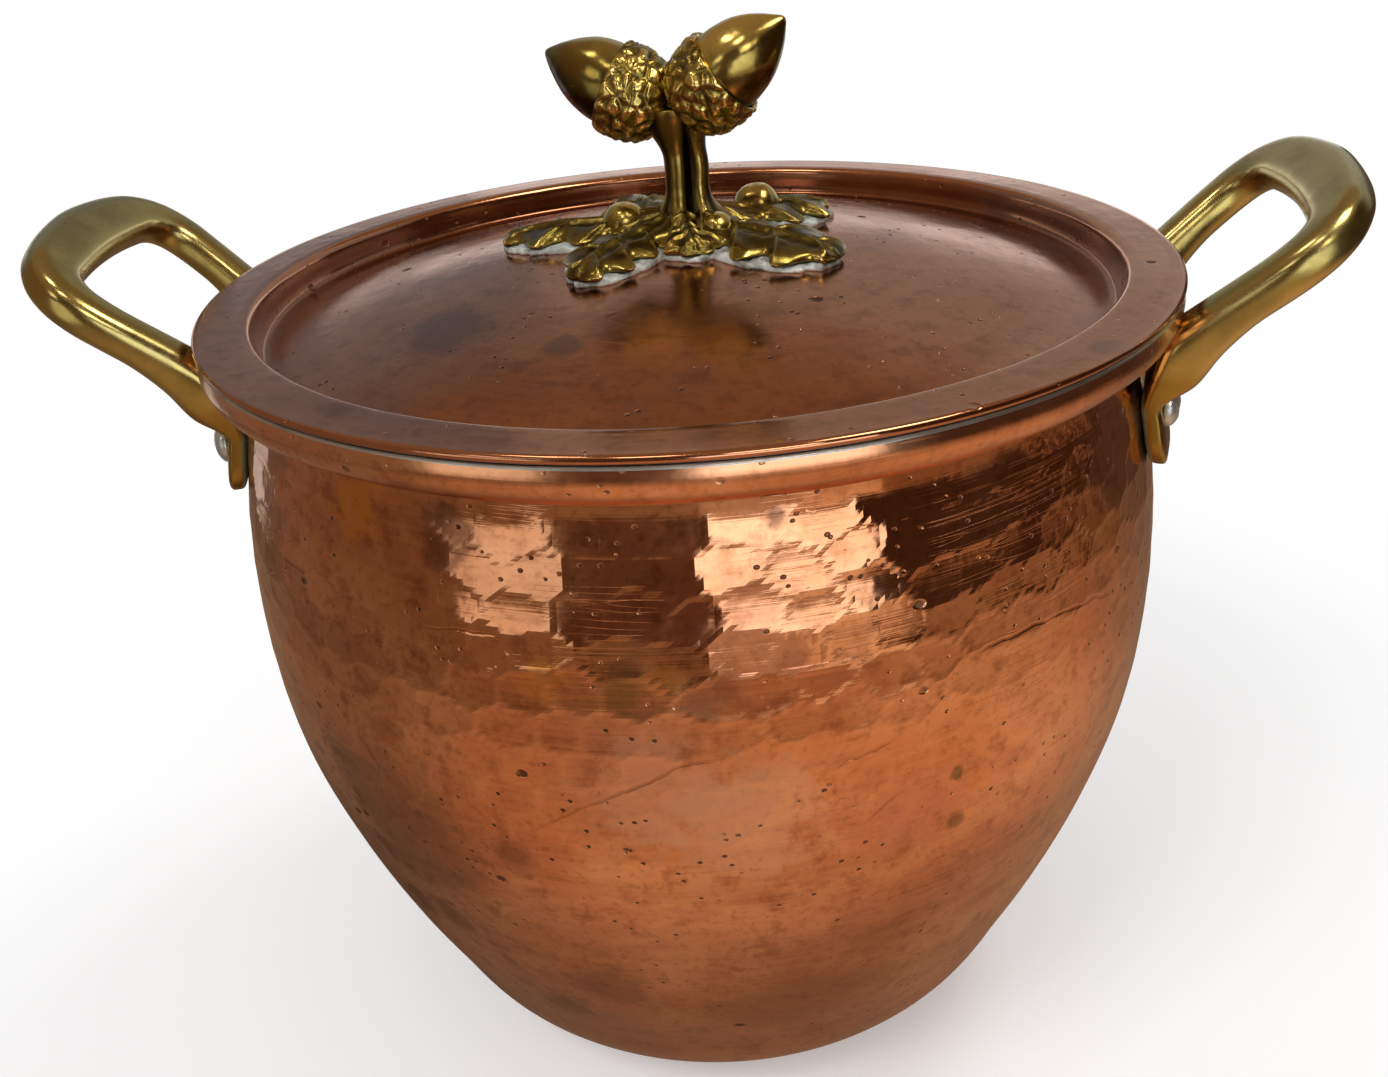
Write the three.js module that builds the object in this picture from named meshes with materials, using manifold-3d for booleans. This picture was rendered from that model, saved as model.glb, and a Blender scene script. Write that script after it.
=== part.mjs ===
// A copper stockpot with a lift-off lid, two riveted brass loop handles and an oak-leaf finial.
// Sizes are millimetres. Z points up, the pot stands on Z = 0 and its axis is the Z axis.
// The handles lie on the X axis. The finial is turned a little away from them.

import * as THREE from "three";
import { mergeVertices } from "three/addons/utils/BufferGeometryUtils.js";
import Module from "manifold-3d";

const wasm = await Module();
wasm.setup();

// Fits
const REST_GAP = 0.3;
const HOLE_CLEARANCE = 0.3;
const HALF_TURN = Math.PI;
const FULL_TURN = HALF_TURN * 2;
const QUARTER_TURN = HALF_TURN / 2;

// Pot
const RIM_RADIUS = 125;
const BAND_OVERHANG = 9.4;
const NECK_RADIUS = RIM_RADIUS - BAND_OVERHANG;
const BELLY_INSET = 0.6;
const BELLY_RADIUS = RIM_RADIUS - BELLY_INSET;
const SHOULDER_HEIGHT = 200.8;
const BAND_HEIGHT = 10.1;
const RIM_HEIGHT = SHOULDER_HEIGHT + BAND_HEIGHT;
const POT_THICKNESS = 1.5;
const ROUND_SIDES = 60;

// Outside of the body, as shares of the belly radius and of the shoulder height
const BODY_SHARES = [
  [0.6, 0],
  [0.637, 0.006],
  [0.67, 0.03],
  [0.738, 0.08],
  [0.796, 0.16],
  [0.863, 0.26],
  [0.929, 0.38],
  [0.983, 0.52],
  [1, 0.66],
  [0.985, 0.8],
  [0.948, 0.91],
];

// Outside of the rim band, as shares of the step from neck to rim and of the band height
const BAND_SHARES = [
  [0.46, 0],
  [0.72, 0.1],
  [0.88, 0.28],
  [0.97, 0.56],
  [1, 1],
];

// Lid
const LID_THICKNESS = 1.5;
const FLANGE_WIDTH = 12.4;
const FLANGE_THICKNESS = 2;
const FLANGE_UNDERSIDE = RIM_HEIGHT + REST_GAP;
const FLANGE_TOP = FLANGE_UNDERSIDE + FLANGE_THICKNESS;
const FLANGE_INNER_RADIUS = RIM_RADIUS - FLANGE_WIDTH;
const LIP_ROUNDING = 0.9;
const EDGE_ROUNDING = 1;
const RECESS_STEP = 1.6;
const RECESS_DRAFT = 1.2;
const RECESS_RADIUS = FLANGE_INNER_RADIUS - RECESS_STEP;
const VALLEY_WIDTH = 4;
const VALLEY_DEPTH = 8.4;
const VALLEY_RADIUS = RECESS_RADIUS - VALLEY_WIDTH;
const VALLEY_Z = FLANGE_TOP - VALLEY_DEPTH;
const DOME_RISE = 14.6;
const DOME_TOP = VALLEY_Z + DOME_RISE;
const DOME_RADII_SHARES = [0.15, 0.3, 0.46, 0.63, 0.81, 1];

// Handle centreline, measured upwards from the rim and across from the middle. The foot is
// measured outwards from the face of the pads, and the other points from the rim.
const HANDLE_LEAN = THREE.MathUtils.degToRad(5.6);
const FOOT = { out: -6, across: 27, up: -20.5 };
const KNEE = { out: -1.4, across: 29, up: -11.7 };
const LEG_LOW = { out: 6, across: 32.6, up: -2.1 };
const LEG_HIGH = { out: 16.4, across: 35.4, up: 7.5 };
const CORNER = { out: 24.4, across: 33.4, up: 14.9 };
const BAR_SIDE = { out: 28, across: 22, up: 18.1 };
const BAR_MIDDLE = { out: 29.6, across: 0, up: 19.7 };

// Handle section, with the places where it changes as shares of half its length
const LEG_HALF_WIDTH = 5.6;
const LEG_HALF_DEPTH = 5.2;
const FOOT_HALF_WIDTH = 6.6;
const BAR_HALF_WIDTH = 7.6;
const BAR_HALF_DEPTH = 4.8;
const BAR_FULL_SHARE = 0.25;
const BAR_END_SHARE = 0.6;
const FOOT_START_SHARE = 0.8;
const HANDLE_SQUARENESS = 2.9;
const HANDLE_SIDES = 12;
const HANDLE_RINGS = 33;

// Handle pads, hung below the rim and set off the wall by their thickness at the rivets
const PAD_ACROSS = 26.25;
const PAD_THICKNESS = 5.8;
const PAD_DEPTH = 12;
const PAD_WIDTH = 17;
const PAD_HEIGHT = 30.6;
const PAD_DROP = 1.2;
const PAD_TOP = SHOULDER_HEIGHT - PAD_DROP;
const PAD_BOTTOM = PAD_TOP - PAD_HEIGHT;
const PAD_CORNER = 6;
const PAD_BEVEL = 1.2;
const PAD_BEVEL_STEPS = 2;
const PAD_CORNER_STEPS = 4;

// Rivets
const RIVET_ABOVE_PAD_BOTTOM = 11.4;
const RIVET_HEIGHT = PAD_BOTTOM + RIVET_ABOVE_PAD_BOTTOM;
const RIVET_SHANK_RADIUS = 2.5;
const RIVET_HEAD_RADIUS = 5;
const RIVET_HEAD_HEIGHT = 3.3;
const RIVET_TAIL_RADIUS = 4.4;
const RIVET_TAIL_HEIGHT = 1.8;
const RIVET_SIDES = 18;
const RIVET_HEAD_STEPS = 5;

// Leaves and their solder bed
const FINIAL_TURN = THREE.MathUtils.degToRad(5);
const BED_THICKNESS = 1.2;
const BED_MARGIN = 1.2;
const BED_DISC_RADIUS = 13;
const BED_BOTTOM = REST_GAP;
const BED_TOP = BED_BOTTOM + BED_THICKNESS;
const LEAF_BOTTOM = BED_TOP + REST_GAP;
const LEAF_START = 9.5;
const LEAF_LENGTH = 40;
const LEAF_HALF_WIDTH = 10;
const LEAF_STEM_HALF_WIDTH = 2;
const LEAF_EDGE_THICKNESS = 1.5;
const LEAF_CROWN = 1.5;
const LEAF_RIB = 0.7;
const LEAF_LOBES = 3.5;
const LEAF_LOBE_SHARE = 0.2;
const LEAF_FULLNESS = 1.3;
const LEAF_SHOULDER = 0.62;
const LEAF_STEPS = 18;
const LEAF_CROSS_STEPS = 4;
const OUTLINE_STEPS = 12;
const DISC_STEPS = 32;

// Each leaf, with its length as a share of LEAF_LENGTH and the rest of LEAF_HALF_WIDTH
const LEAVES = [
  { name: "leaf_left", angle: 163, lengthShare: 1.025, widthShare: 1.05, bendShare: 0.2 },
  { name: "leaf_front_left", angle: 231, lengthShare: 0.7875, widthShare: 1.05, bendShare: -0.2 },
  { name: "leaf_front_right", angle: 324, lengthShare: 0.9125, widthShare: 1.25, bendShare: -0.1 },
  { name: "leaf_back_right", angle: 34, lengthShare: 0.95, widthShare: 1.05, bendShare: -0.2 },
  { name: "leaf_back_left", angle: 108, lengthShare: 0.95, widthShare: 1, bendShare: 0.2 },
  { name: "leaf_front_small", angle: 280, lengthShare: 0.3, widthShare: 0.42, bendShare: 0 },
];

// Berries lying on the leaves, with their reach as a share of LEAF_LENGTH
const BERRY_RADIUS = 5;
const BERRY_SINK_SHARE = 0.12;
const BERRY_SIDES = 14;
const BERRIES = [
  { name: "berry_left", angle: 143, reachShare: 0.3875, radiusShare: 1.08 },
  { name: "berry_front", angle: 338, reachShare: 0.315, radiusShare: 0.84 },
  { name: "berry_back_right", angle: 45, reachShare: 0.825, radiusShare: 1.04 },
];

// Twin twigs
const TWIG_SPLIT_X = 2.2;
const TWIG_SPACING = 2.4;
const TWIG_RADIUS = 3.4;
const TWIG_BASE_RADIUS = 6.8;
const TWIG_TOP_RADIUS = 4.4;
const TWIG_BASE_SHARE = 0.3;
const TWIG_TOP_SHARE = 0.5;
const TWIG_MIDDLE_HEIGHT = 13;
const TWIG_HOLD = 2.6;
const TWIG_RINGS = 13;
const TWIG_SIDES = 14;

// Acorns
const CUP_RADIUS = 11.9;
const CUP_LENGTH = 15.5;
const CUP_SPLIT_X = -0.4;
const CUP_LIP_THICKNESS = 1.4;
const CUP_SEAT_DEPTH = 4;
const NUT_LENGTH = 18.8;
const ACORN_SIDES = 24;
const CUP_SHARES = [
  [0.34, 0],
  [0.62, 0.08],
  [0.84, 0.26],
  [0.97, 0.52],
  [1, 0.8],
  [0.96, 1],
];
const NUT_SHARES = [
  [1, 0],
  [1, 0.14],
  [0.96, 0.32],
  [0.84, 0.52],
  [0.62, 0.71],
  [0.36, 0.86],
  [0.13, 0.96],
];

// Where the acorns start, the left one behind, and the angles in which each one points
const ACORN_BASE_OUT = 1.7;
const ACORN_BASE_BACK = 1;
const ACORN_HEIGHT = 31.5;
const ACORNS = [
  { name: "left", side: -1, angle: 164.8, rise: 26.7 },
  { name: "right", side: 1, angle: -16.3, rise: 38 },
];

// Colours
const COPPER = { color: 0xb5653c, roughness: 0.34, metalness: 1 };
const LID_COPPER = { color: 0xa85f42, roughness: 0.36, metalness: 1 };
const BRASS = { color: 0xa8863a, roughness: 0.3, metalness: 1 };
const OLD_BRASS = { color: 0x7a5f26, roughness: 0.42, metalness: 1 };
const RIVET_METAL = { color: 0xb4b6b2, roughness: 0.38, metalness: 1 };
const SOLDER = { color: 0xa9b0a2, roughness: 0.75, metalness: 0.2 };

// Turn a three.js geometry into a solid, dropping triangles that have no area.
function solidOf(geometry) {
  const plain = new THREE.BufferGeometry();
  plain.setAttribute("position", geometry.getAttribute("position").clone());
  if (geometry.index) plain.setIndex(geometry.index.clone());
  const merged = mergeVertices(plain);
  const corners = Array.from(merged.index.array);
  const kept = [];
  for (let i = 0; i < corners.length; i += 3) {
    const [a, b, c] = corners.slice(i, i + 3);
    if (a !== b && b !== c && a !== c) kept.push(a, b, c);
  }
  const vertProperties = new Float32Array(merged.getAttribute("position").array);
  const mesh = new wasm.Mesh({ numProp: 3, vertProperties, triVerts: new Uint32Array(kept) });
  const solid = new wasm.Manifold(mesh);
  if (solid.volume() > 0) return solid;
  for (let i = 0; i < kept.length; i += 3) {
    [kept[i], kept[i + 1]] = [kept[i + 1], kept[i]];
  }
  return new wasm.Manifold(
    new wasm.Mesh({ numProp: 3, vertProperties, triVerts: new Uint32Array(kept) }),
  );
}

// Make a named mesh from a solid.
function meshOf(name, solid, finish) {
  const { vertProperties, triVerts } = solid.getMesh();
  const geometry = new THREE.BufferGeometry();
  geometry.setAttribute("position", new THREE.BufferAttribute(vertProperties, 3));
  geometry.setIndex(new THREE.BufferAttribute(triVerts, 1));
  geometry.computeVertexNormals();
  const mesh = new THREE.Mesh(geometry, new THREE.MeshStandardMaterial(finish));
  mesh.name = name;
  return mesh;
}

// Spin a closed profile of [radius, height] pairs about the Z axis.
function turned(profile, sides) {
  const points = profile.map(([radius, height]) => new THREE.Vector2(radius, height));
  const geometry = new THREE.LatheGeometry(points, sides);
  geometry.rotateX(QUARTER_TURN);
  return solidOf(geometry);
}

// Shift a profile sideways by a distance, to its left when the distance is positive.
function offsetProfile(profile, distance) {
  const last = profile.length - 1;
  return profile.map((point, index) => {
    const before = profile[Math.max(index - 1, 0)];
    const after = profile[Math.min(index + 1, last)];
    const arriving = unitStep(before, index > 0 ? point : after);
    const leaving = unitStep(index < last ? point : before, after);
    const normal = new THREE.Vector2(-arriving.y - leaving.y, arriving.x + leaving.x).normalize();
    const stretch = -arriving.y * normal.x + arriving.x * normal.y;
    const shift = distance / stretch;
    return [Math.max(point[0] + normal.x * shift, 0), point[1] + normal.y * shift];
  });
}

// The unit direction from one profile point to the next.
function unitStep(from, to) {
  return new THREE.Vector2(to[0] - from[0], to[1] - from[1]).normalize();
}

// The outside of the pot, from the axis at the bottom to the top of the rim band.
function potOutline() {
  const body = BODY_SHARES.map(([out, up]) => [out * BELLY_RADIUS, up * SHOULDER_HEIGHT]);
  const step = RIM_RADIUS - NECK_RADIUS;
  const band = BAND_SHARES.map(([out, up]) => [
    NECK_RADIUS + out * step,
    SHOULDER_HEIGHT + up * BAND_HEIGHT,
  ]);
  return [[0, 0], ...body, [NECK_RADIUS, SHOULDER_HEIGHT], ...band];
}

// The radius of a profile at a height.
function radiusAt(profile, height) {
  const index = profile.findIndex(([, up]) => up > height);
  const [lowRadius, low] = profile[index - 1];
  const [highRadius, high] = profile[index];
  return THREE.MathUtils.mapLinear(height, low, high, lowRadius, highRadius);
}

// The pot and everything inside it, grown by a gap, for cutting what touches it from outside.
function potBlank(gap) {
  const grown = offsetProfile(potOutline(), -gap);
  const top = FLANGE_TOP + gap;
  return turned([...grown, [RIM_RADIUS + gap, top], [0, top]], ROUND_SIDES);
}

// The space inside the pot up to the rim, smaller by a gap all round.
function potCavity(gap) {
  const inside = offsetProfile(potOutline(), POT_THICKNESS + gap);
  return turned([...inside, [0, RIM_HEIGHT]], ROUND_SIDES);
}

// The radius of the wall's inner side at the rivets.
function innerWallRadius() {
  return radiusAt(offsetProfile(potOutline(), POT_THICKNESS), RIVET_HEIGHT);
}

// The radius of the outer face of the pads.
function padFaceRadius() {
  return radiusAt(potOutline(), RIVET_HEIGHT) + PAD_THICKNESS;
}

// The angle about the axis between the middle of a handle and each of its pads.
function padAngle() {
  return Math.asin(PAD_ACROSS / padFaceRadius());
}

// A round bar along +X from one radius to another, at a height and an angle about the axis.
function radialBar(radius, from, to, height, angle) {
  const geometry = new THREE.CylinderGeometry(radius, radius, to - from, RIVET_SIDES);
  geometry.rotateZ(QUARTER_TURN);
  geometry.translate((from + to) / 2, 0, height);
  geometry.rotateZ(angle);
  return solidOf(geometry);
}

// The angle about the axis of each handle; both sit a little to the front of the X axis.
function handleAngles() {
  return { right: -HANDLE_LEAN, left: HALF_TURN + HANDLE_LEAN };
}

// The four angles about the axis at which a rivet sits.
function rivetAngles() {
  const { right, left } = handleAngles();
  return {
    rivet_right_front: right - padAngle(),
    rivet_right_back: right + padAngle(),
    rivet_left_front: left + padAngle(),
    rivet_left_back: left - padAngle(),
  };
}

// A hole for each rivet shank, through the pads and the wall.
function rivetHoles() {
  const radius = RIVET_SHANK_RADIUS + HOLE_CLEARANCE;
  const from = innerWallRadius() - PAD_DEPTH;
  const to = padFaceRadius() + PAD_DEPTH;
  const holes = Object.values(rivetAngles()).map((angle) =>
    radialBar(radius, from, to, RIVET_HEIGHT, angle),
  );
  return holes.reduce((all, hole) => all.add(hole));
}

// The pot body: the shell between its outside and its inside, with holes for the rivets.
function potBody() {
  const inside = offsetProfile(potOutline(), POT_THICKNESS);
  const shell = turned([...potOutline(), ...inside.reverse()], ROUND_SIDES);
  return shell.subtract(rivetHoles());
}

// A low dome whose flat base faces -X at a given radius from the pot axis.
function domedHead(baseRadius, headRadius, headHeight, angle) {
  const profile = [[0, 0]];
  for (let step = 0; step <= RIVET_HEAD_STEPS; step += 1) {
    const lift = (step / RIVET_HEAD_STEPS) * QUARTER_TURN;
    profile.push([headRadius * Math.cos(lift), headHeight * Math.sin(lift)]);
  }
  profile[profile.length - 1] = [0, headHeight];
  const points = profile.map(([radius, height]) => new THREE.Vector2(radius, height));
  const geometry = new THREE.LatheGeometry(points, RIVET_SIDES);
  geometry.rotateZ(-QUARTER_TURN);
  geometry.translate(baseRadius, 0, RIVET_HEIGHT);
  geometry.rotateZ(angle);
  return solidOf(geometry);
}

// One rivet: a domed head on the pad, a shank through pad and wall, and a flat tail inside.
function rivet(angle) {
  const wall = innerWallRadius();
  const tailFrom = wall - REST_GAP - RIVET_TAIL_HEIGHT;
  const tailTo = wall + RIVET_TAIL_RADIUS;
  const headBase = padFaceRadius() + REST_GAP;
  const tail = radialBar(RIVET_TAIL_RADIUS, tailFrom, tailTo, RIVET_HEIGHT, angle);
  const shankTo = headBase + RIVET_HEAD_HEIGHT / 2;
  const shank = radialBar(RIVET_SHANK_RADIUS, wall - RIVET_TAIL_HEIGHT, shankTo, RIVET_HEIGHT, angle);
  const head = domedHead(headBase, RIVET_HEAD_RADIUS, RIVET_HEAD_HEIGHT, angle);
  return tail.intersect(potCavity(REST_GAP)).add(shank).add(head);
}

// A point of the handle centreline, on the front side for side -1 and on the back for side 1.
function handlePoint(point, side) {
  const { out, across, up } = point;
  const from = point === FOOT ? padFaceRadius() : RIM_RADIUS;
  return new THREE.Vector3(from + out, side * across, RIM_HEIGHT + up);
}

// The centreline of a handle, from the front foot over the bar to the back foot.
function handlePath() {
  const half = [FOOT, KNEE, LEG_LOW, LEG_HIGH, CORNER, BAR_SIDE];
  const front = half.map((point) => handlePoint(point, -1));
  const back = half.map((point) => handlePoint(point, 1)).reverse();
  return new THREE.CatmullRomCurve3([...front, handlePoint(BAR_MIDDLE, 1), ...back]);
}

// Half the width and half the depth of the handle at a share of its length.
function handleSection(share) {
  const fromMiddle = Math.abs(share - 1 / 2) * 2;
  const bar = 1 - THREE.MathUtils.smoothstep(fromMiddle, BAR_FULL_SHARE, BAR_END_SHARE);
  const foot = THREE.MathUtils.smoothstep(fromMiddle, FOOT_START_SHARE, 1);
  const width = THREE.MathUtils.lerp(LEG_HALF_WIDTH, BAR_HALF_WIDTH, bar);
  return {
    halfWidth: THREE.MathUtils.lerp(width, FOOT_HALF_WIDTH, foot),
    halfDepth: THREE.MathUtils.lerp(LEG_HALF_DEPTH, BAR_HALF_DEPTH, bar),
  };
}

// A rounded-square offset around a ring; squareness 2 gives an ellipse.
function roundedSquare(turn, squareness) {
  const power = 2 / squareness;
  const swell = (value) => Math.sign(value) * Math.abs(value) ** power;
  return [swell(Math.cos(turn)), swell(Math.sin(turn))];
}

// Close a stack of rings of points into a solid with flat fan ends.
function stackedRings(rings) {
  const sides = rings[0].length;
  const corners = rings.flat().flatMap((point) => point.toArray());
  const faces = [];
  for (let ring = 0; ring < rings.length - 1; ring += 1) {
    for (let side = 0; side < sides; side += 1) {
      const next = (side + 1) % sides;
      const a = ring * sides + side;
      const b = ring * sides + next;
      faces.push(a, b, b + sides, a, b + sides, a + sides);
    }
  }
  const lastRing = (rings.length - 1) * sides;
  for (let side = 1; side < sides - 1; side += 1) {
    faces.push(0, side + 1, side);
    faces.push(lastRing, lastRing + side, lastRing + side + 1);
  }
  const geometry = new THREE.BufferGeometry();
  geometry.setAttribute("position", new THREE.Float32BufferAttribute(corners, 3));
  geometry.setIndex(faces);
  return solidOf(geometry);
}

// Sweep a rounded section along a curve; the section's depth stays close to one direction.
function swept(curve, ringCount, sides, squareness, depthDirection, section) {
  const rings = [];
  for (let ring = 0; ring < ringCount; ring += 1) {
    const share = ring / (ringCount - 1);
    const centre = curve.getPointAt(share);
    const forward = curve.getTangentAt(share);
    const across = new THREE.Vector3().crossVectors(forward, depthDirection).normalize();
    const depth = new THREE.Vector3().crossVectors(across, forward);
    const { halfWidth, halfDepth } = section(share);
    const points = [];
    for (let side = 0; side < sides; side += 1) {
      const [x, y] = roundedSquare((side / sides) * FULL_TURN, squareness);
      const point = centre.clone();
      point.addScaledVector(across, x * halfWidth);
      point.addScaledVector(depth, y * halfDepth);
      points.push(point);
    }
    rings.push(points);
  }
  return stackedRings(rings);
}

// The direction that stands square on the sloping plane of the handle.
function handleNormal() {
  const slope = new THREE.Vector3(BAR_MIDDLE.out - LEG_LOW.out, 0, BAR_MIDDLE.up - LEG_LOW.up);
  return new THREE.Vector3(-slope.z, 0, slope.x).normalize();
}

// A rectangle with rounded corners, centred on the origin.
function roundedRectangle(width, height, corner) {
  const x = width / 2;
  const y = height / 2;
  const shape = new THREE.Shape();
  shape.moveTo(corner - x, -y);
  shape.absarc(x - corner, corner - y, corner, -QUARTER_TURN, 0);
  shape.absarc(x - corner, y - corner, corner, 0, QUARTER_TURN);
  shape.absarc(corner - x, y - corner, corner, QUARTER_TURN, HALF_TURN);
  shape.absarc(corner - x, corner - y, corner, HALF_TURN, HALF_TURN + QUARTER_TURN);
  return shape;
}

// A handle pad: a rounded plate that reaches from its outer face into the wall.
function pad(angle) {
  const outline = roundedRectangle(PAD_WIDTH, PAD_TOP - PAD_BOTTOM, PAD_CORNER);
  const geometry = new THREE.ExtrudeGeometry(outline, {
    depth: PAD_DEPTH - PAD_BEVEL,
    bevelSize: PAD_BEVEL,
    bevelOffset: -PAD_BEVEL,
    bevelThickness: PAD_BEVEL,
    bevelSegments: PAD_BEVEL_STEPS,
    curveSegments: PAD_CORNER_STEPS,
  });
  geometry.rotateX(QUARTER_TURN);
  geometry.rotateZ(QUARTER_TURN);
  geometry.translate(padFaceRadius() - PAD_DEPTH, 0, (PAD_TOP + PAD_BOTTOM) / 2);
  geometry.rotateZ(angle);
  return solidOf(geometry);
}

// A handle at an angle about the axis, cut to lie against the wall and under the rim band.
function handle(angle) {
  const loop = swept(
    handlePath(),
    HANDLE_RINGS,
    HANDLE_SIDES,
    HANDLE_SQUARENESS,
    handleNormal(),
    handleSection,
  );
  const solid = loop.add(pad(-padAngle())).add(pad(padAngle()));
  const placed = solid.rotate([0, 0, THREE.MathUtils.radToDeg(angle)]);
  return placed.subtract(potBlank(REST_GAP)).subtract(rivetHoles());
}

// The height of the top of the dome at a radius.
function domeTop(radius) {
  return VALLEY_Z + DOME_RISE * (1 - (radius / VALLEY_RADIUS) ** 2);
}

// The top of the dome from the axis to the valley, raised by a distance.
function domeProfile(raise) {
  const radii = DOME_RADII_SHARES.map((share) => share * VALLEY_RADIUS);
  return [0, ...radii].map((radius) => [radius, domeTop(radius) + raise]);
}

// The lid: dome, valley, recess wall and flat flange with a rounded lip.
function lidBody() {
  const top = [
    ...domeProfile(0),
    [RECESS_RADIUS - RECESS_DRAFT, VALLEY_Z + EDGE_ROUNDING / 2],
    [RECESS_RADIUS, FLANGE_TOP - EDGE_ROUNDING],
    [RECESS_RADIUS + EDGE_ROUNDING / 2, FLANGE_TOP - EDGE_ROUNDING / 4],
    [FLANGE_INNER_RADIUS, FLANGE_TOP],
    [RIM_RADIUS - LIP_ROUNDING, FLANGE_TOP],
    [RIM_RADIUS, FLANGE_TOP - LIP_ROUNDING],
  ];
  const underside = [
    [RIM_RADIUS - LIP_ROUNDING / 2, FLANGE_UNDERSIDE],
    [RECESS_RADIUS + LID_THICKNESS + EDGE_ROUNDING, FLANGE_UNDERSIDE],
    [RECESS_RADIUS + LID_THICKNESS, FLANGE_UNDERSIDE - EDGE_ROUNDING],
    [RECESS_RADIUS + LID_THICKNESS - RECESS_DRAFT, VALLEY_Z - LID_THICKNESS / 2],
    [VALLEY_RADIUS + LID_THICKNESS / 2, VALLEY_Z - LID_THICKNESS],
    ...domeProfile(-LID_THICKNESS).reverse(),
  ];
  return turned([...top, ...underside], ROUND_SIDES);
}

// Half the width of a leaf at a share of its length, with lobes when they are asked for.
function leafHalfWidth({ widthShare }, share, lobed) {
  const halfWidth = widthShare * LEAF_HALF_WIDTH;
  const swell = Math.sin(HALF_TURN * share ** LEAF_FULLNESS) ** LEAF_SHOULDER;
  const wave = Math.cos(FULL_TURN * LEAF_LOBES * share);
  const lobes = lobed ? 1 - LEAF_LOBE_SHARE * (1 + wave) : 1;
  return LEAF_STEM_HALF_WIDTH + (halfWidth - LEAF_STEM_HALF_WIDTH) * swell * lobes;
}

// A point of a leaf in plan; side runs from -1 at one edge to 1 at the other.
function leafPoint(leaf, share, side, margin, lobed) {
  const angle = THREE.MathUtils.degToRad(leaf.angle);
  const length = leaf.lengthShare * LEAF_LENGTH;
  const reach = LEAF_START - margin + share * (length + margin * 2);
  const across = side * (leafHalfWidth(leaf, share, lobed) + margin);
  const drift = leaf.bendShare * LEAF_HALF_WIDTH * Math.sin(HALF_TURN * share);
  const along = new THREE.Vector2(Math.cos(angle), Math.sin(angle)).multiplyScalar(reach);
  const sideways = new THREE.Vector2(-Math.sin(angle), Math.cos(angle));
  return along.addScaledVector(sideways, across + drift);
}

// How thick a leaf is: thin at the edge, arched in the middle, with a rib along it.
function leafThickness(share, side) {
  const arch = LEAF_CROWN * (1 - side * side) * Math.sin(HALF_TURN * share);
  const rib = LEAF_RIB * Math.max(1 - Math.abs(side) * LEAF_CROSS_STEPS / 2, 0);
  return LEAF_EDGE_THICKNESS + arch + rib * (1 - share);
}

// A leaf that follows the dome above the solder bed, grown by a gap.
function leafSolid(leaf, gap) {
  const rings = [];
  for (let step = 0; step <= LEAF_STEPS; step += 1) {
    const share = step / LEAF_STEPS;
    const top = [];
    const bottom = [];
    for (let cross = 0; cross <= LEAF_CROSS_STEPS; cross += 1) {
      const side = (cross / LEAF_CROSS_STEPS) * 2 - 1;
      const { x, y } = leafPoint(leaf, share, side, gap, true);
      const rest = domeTop(Math.hypot(x, y)) + LEAF_BOTTOM;
      top.push(new THREE.Vector3(x, y, rest + leafThickness(share, side) + gap));
      bottom.push(new THREE.Vector3(x, y, rest - gap));
    }
    rings.push([...top, ...bottom.reverse()]);
  }
  return stackedRings(rings);
}

// A finished leaf, cut clear of the leaves that come before it in the table.
function leafPiece(leaf) {
  const earlier = LEAVES.slice(0, LEAVES.indexOf(leaf));
  const whole = leafSolid(leaf, 0);
  return earlier.reduce((rest, other) => rest.subtract(leafSolid(other, REST_GAP)), whole);
}

// A tall upright block with the plan of a shape.
function upright(shape) {
  const geometry = new THREE.ExtrudeGeometry(shape, {
    depth: DOME_RISE * 2,
    bevelEnabled: false,
    curveSegments: DISC_STEPS / 2,
  });
  geometry.translate(0, 0, VALLEY_Z - DOME_RISE / 2);
  return solidOf(geometry);
}

// The plan of a leaf without lobes and a little larger, for the solder under it.
function bedOutline(leaf) {
  const points = [];
  for (let step = 0; step <= OUTLINE_STEPS; step += 1) {
    points.push(leafPoint(leaf, step / OUTLINE_STEPS, -1, BED_MARGIN, false));
  }
  for (let step = OUTLINE_STEPS; step >= 0; step -= 1) {
    points.push(leafPoint(leaf, step / OUTLINE_STEPS, 1, BED_MARGIN, false));
  }
  return new THREE.Shape(points);
}

// The solder bed: a thin skin on the dome that shows as a pale edge around the leaves.
function solderBed() {
  const disc = new THREE.Shape();
  disc.absarc(0, 0, BED_DISC_RADIUS, 0, FULL_TURN);
  const plan = LEAVES.reduce((all, leaf) => all.add(upright(bedOutline(leaf))), upright(disc));
  const skin = turned(
    [...domeProfile(BED_BOTTOM), ...domeProfile(BED_TOP).reverse()],
    ROUND_SIDES,
  );
  return plan.intersect(skin);
}

// All the leaves as one solid, grown by a gap, for cutting what rests on them.
function leafCutter(gap) {
  return LEAVES.map((leaf) => leafSolid(leaf, gap)).reduce((all, leaf) => all.add(leaf));
}

// The whole ball of a berry, grown by a gap.
function berryBall({ angle, reachShare, radiusShare }, gap) {
  const turn = THREE.MathUtils.degToRad(angle);
  const reach = reachShare * LEAF_LENGTH;
  const radius = radiusShare * BERRY_RADIUS;
  const rest = domeTop(reach) + LEAF_BOTTOM + LEAF_EDGE_THICKNESS + LEAF_CROWN;
  const centreZ = rest + radius * BERRY_SINK_SHARE;
  const geometry = new THREE.SphereGeometry(radius + gap, BERRY_SIDES, BERRY_SIDES / 2);
  geometry.rotateX(QUARTER_TURN);
  geometry.translate(reach * Math.cos(turn), reach * Math.sin(turn), centreZ);
  return solidOf(geometry);
}

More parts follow.
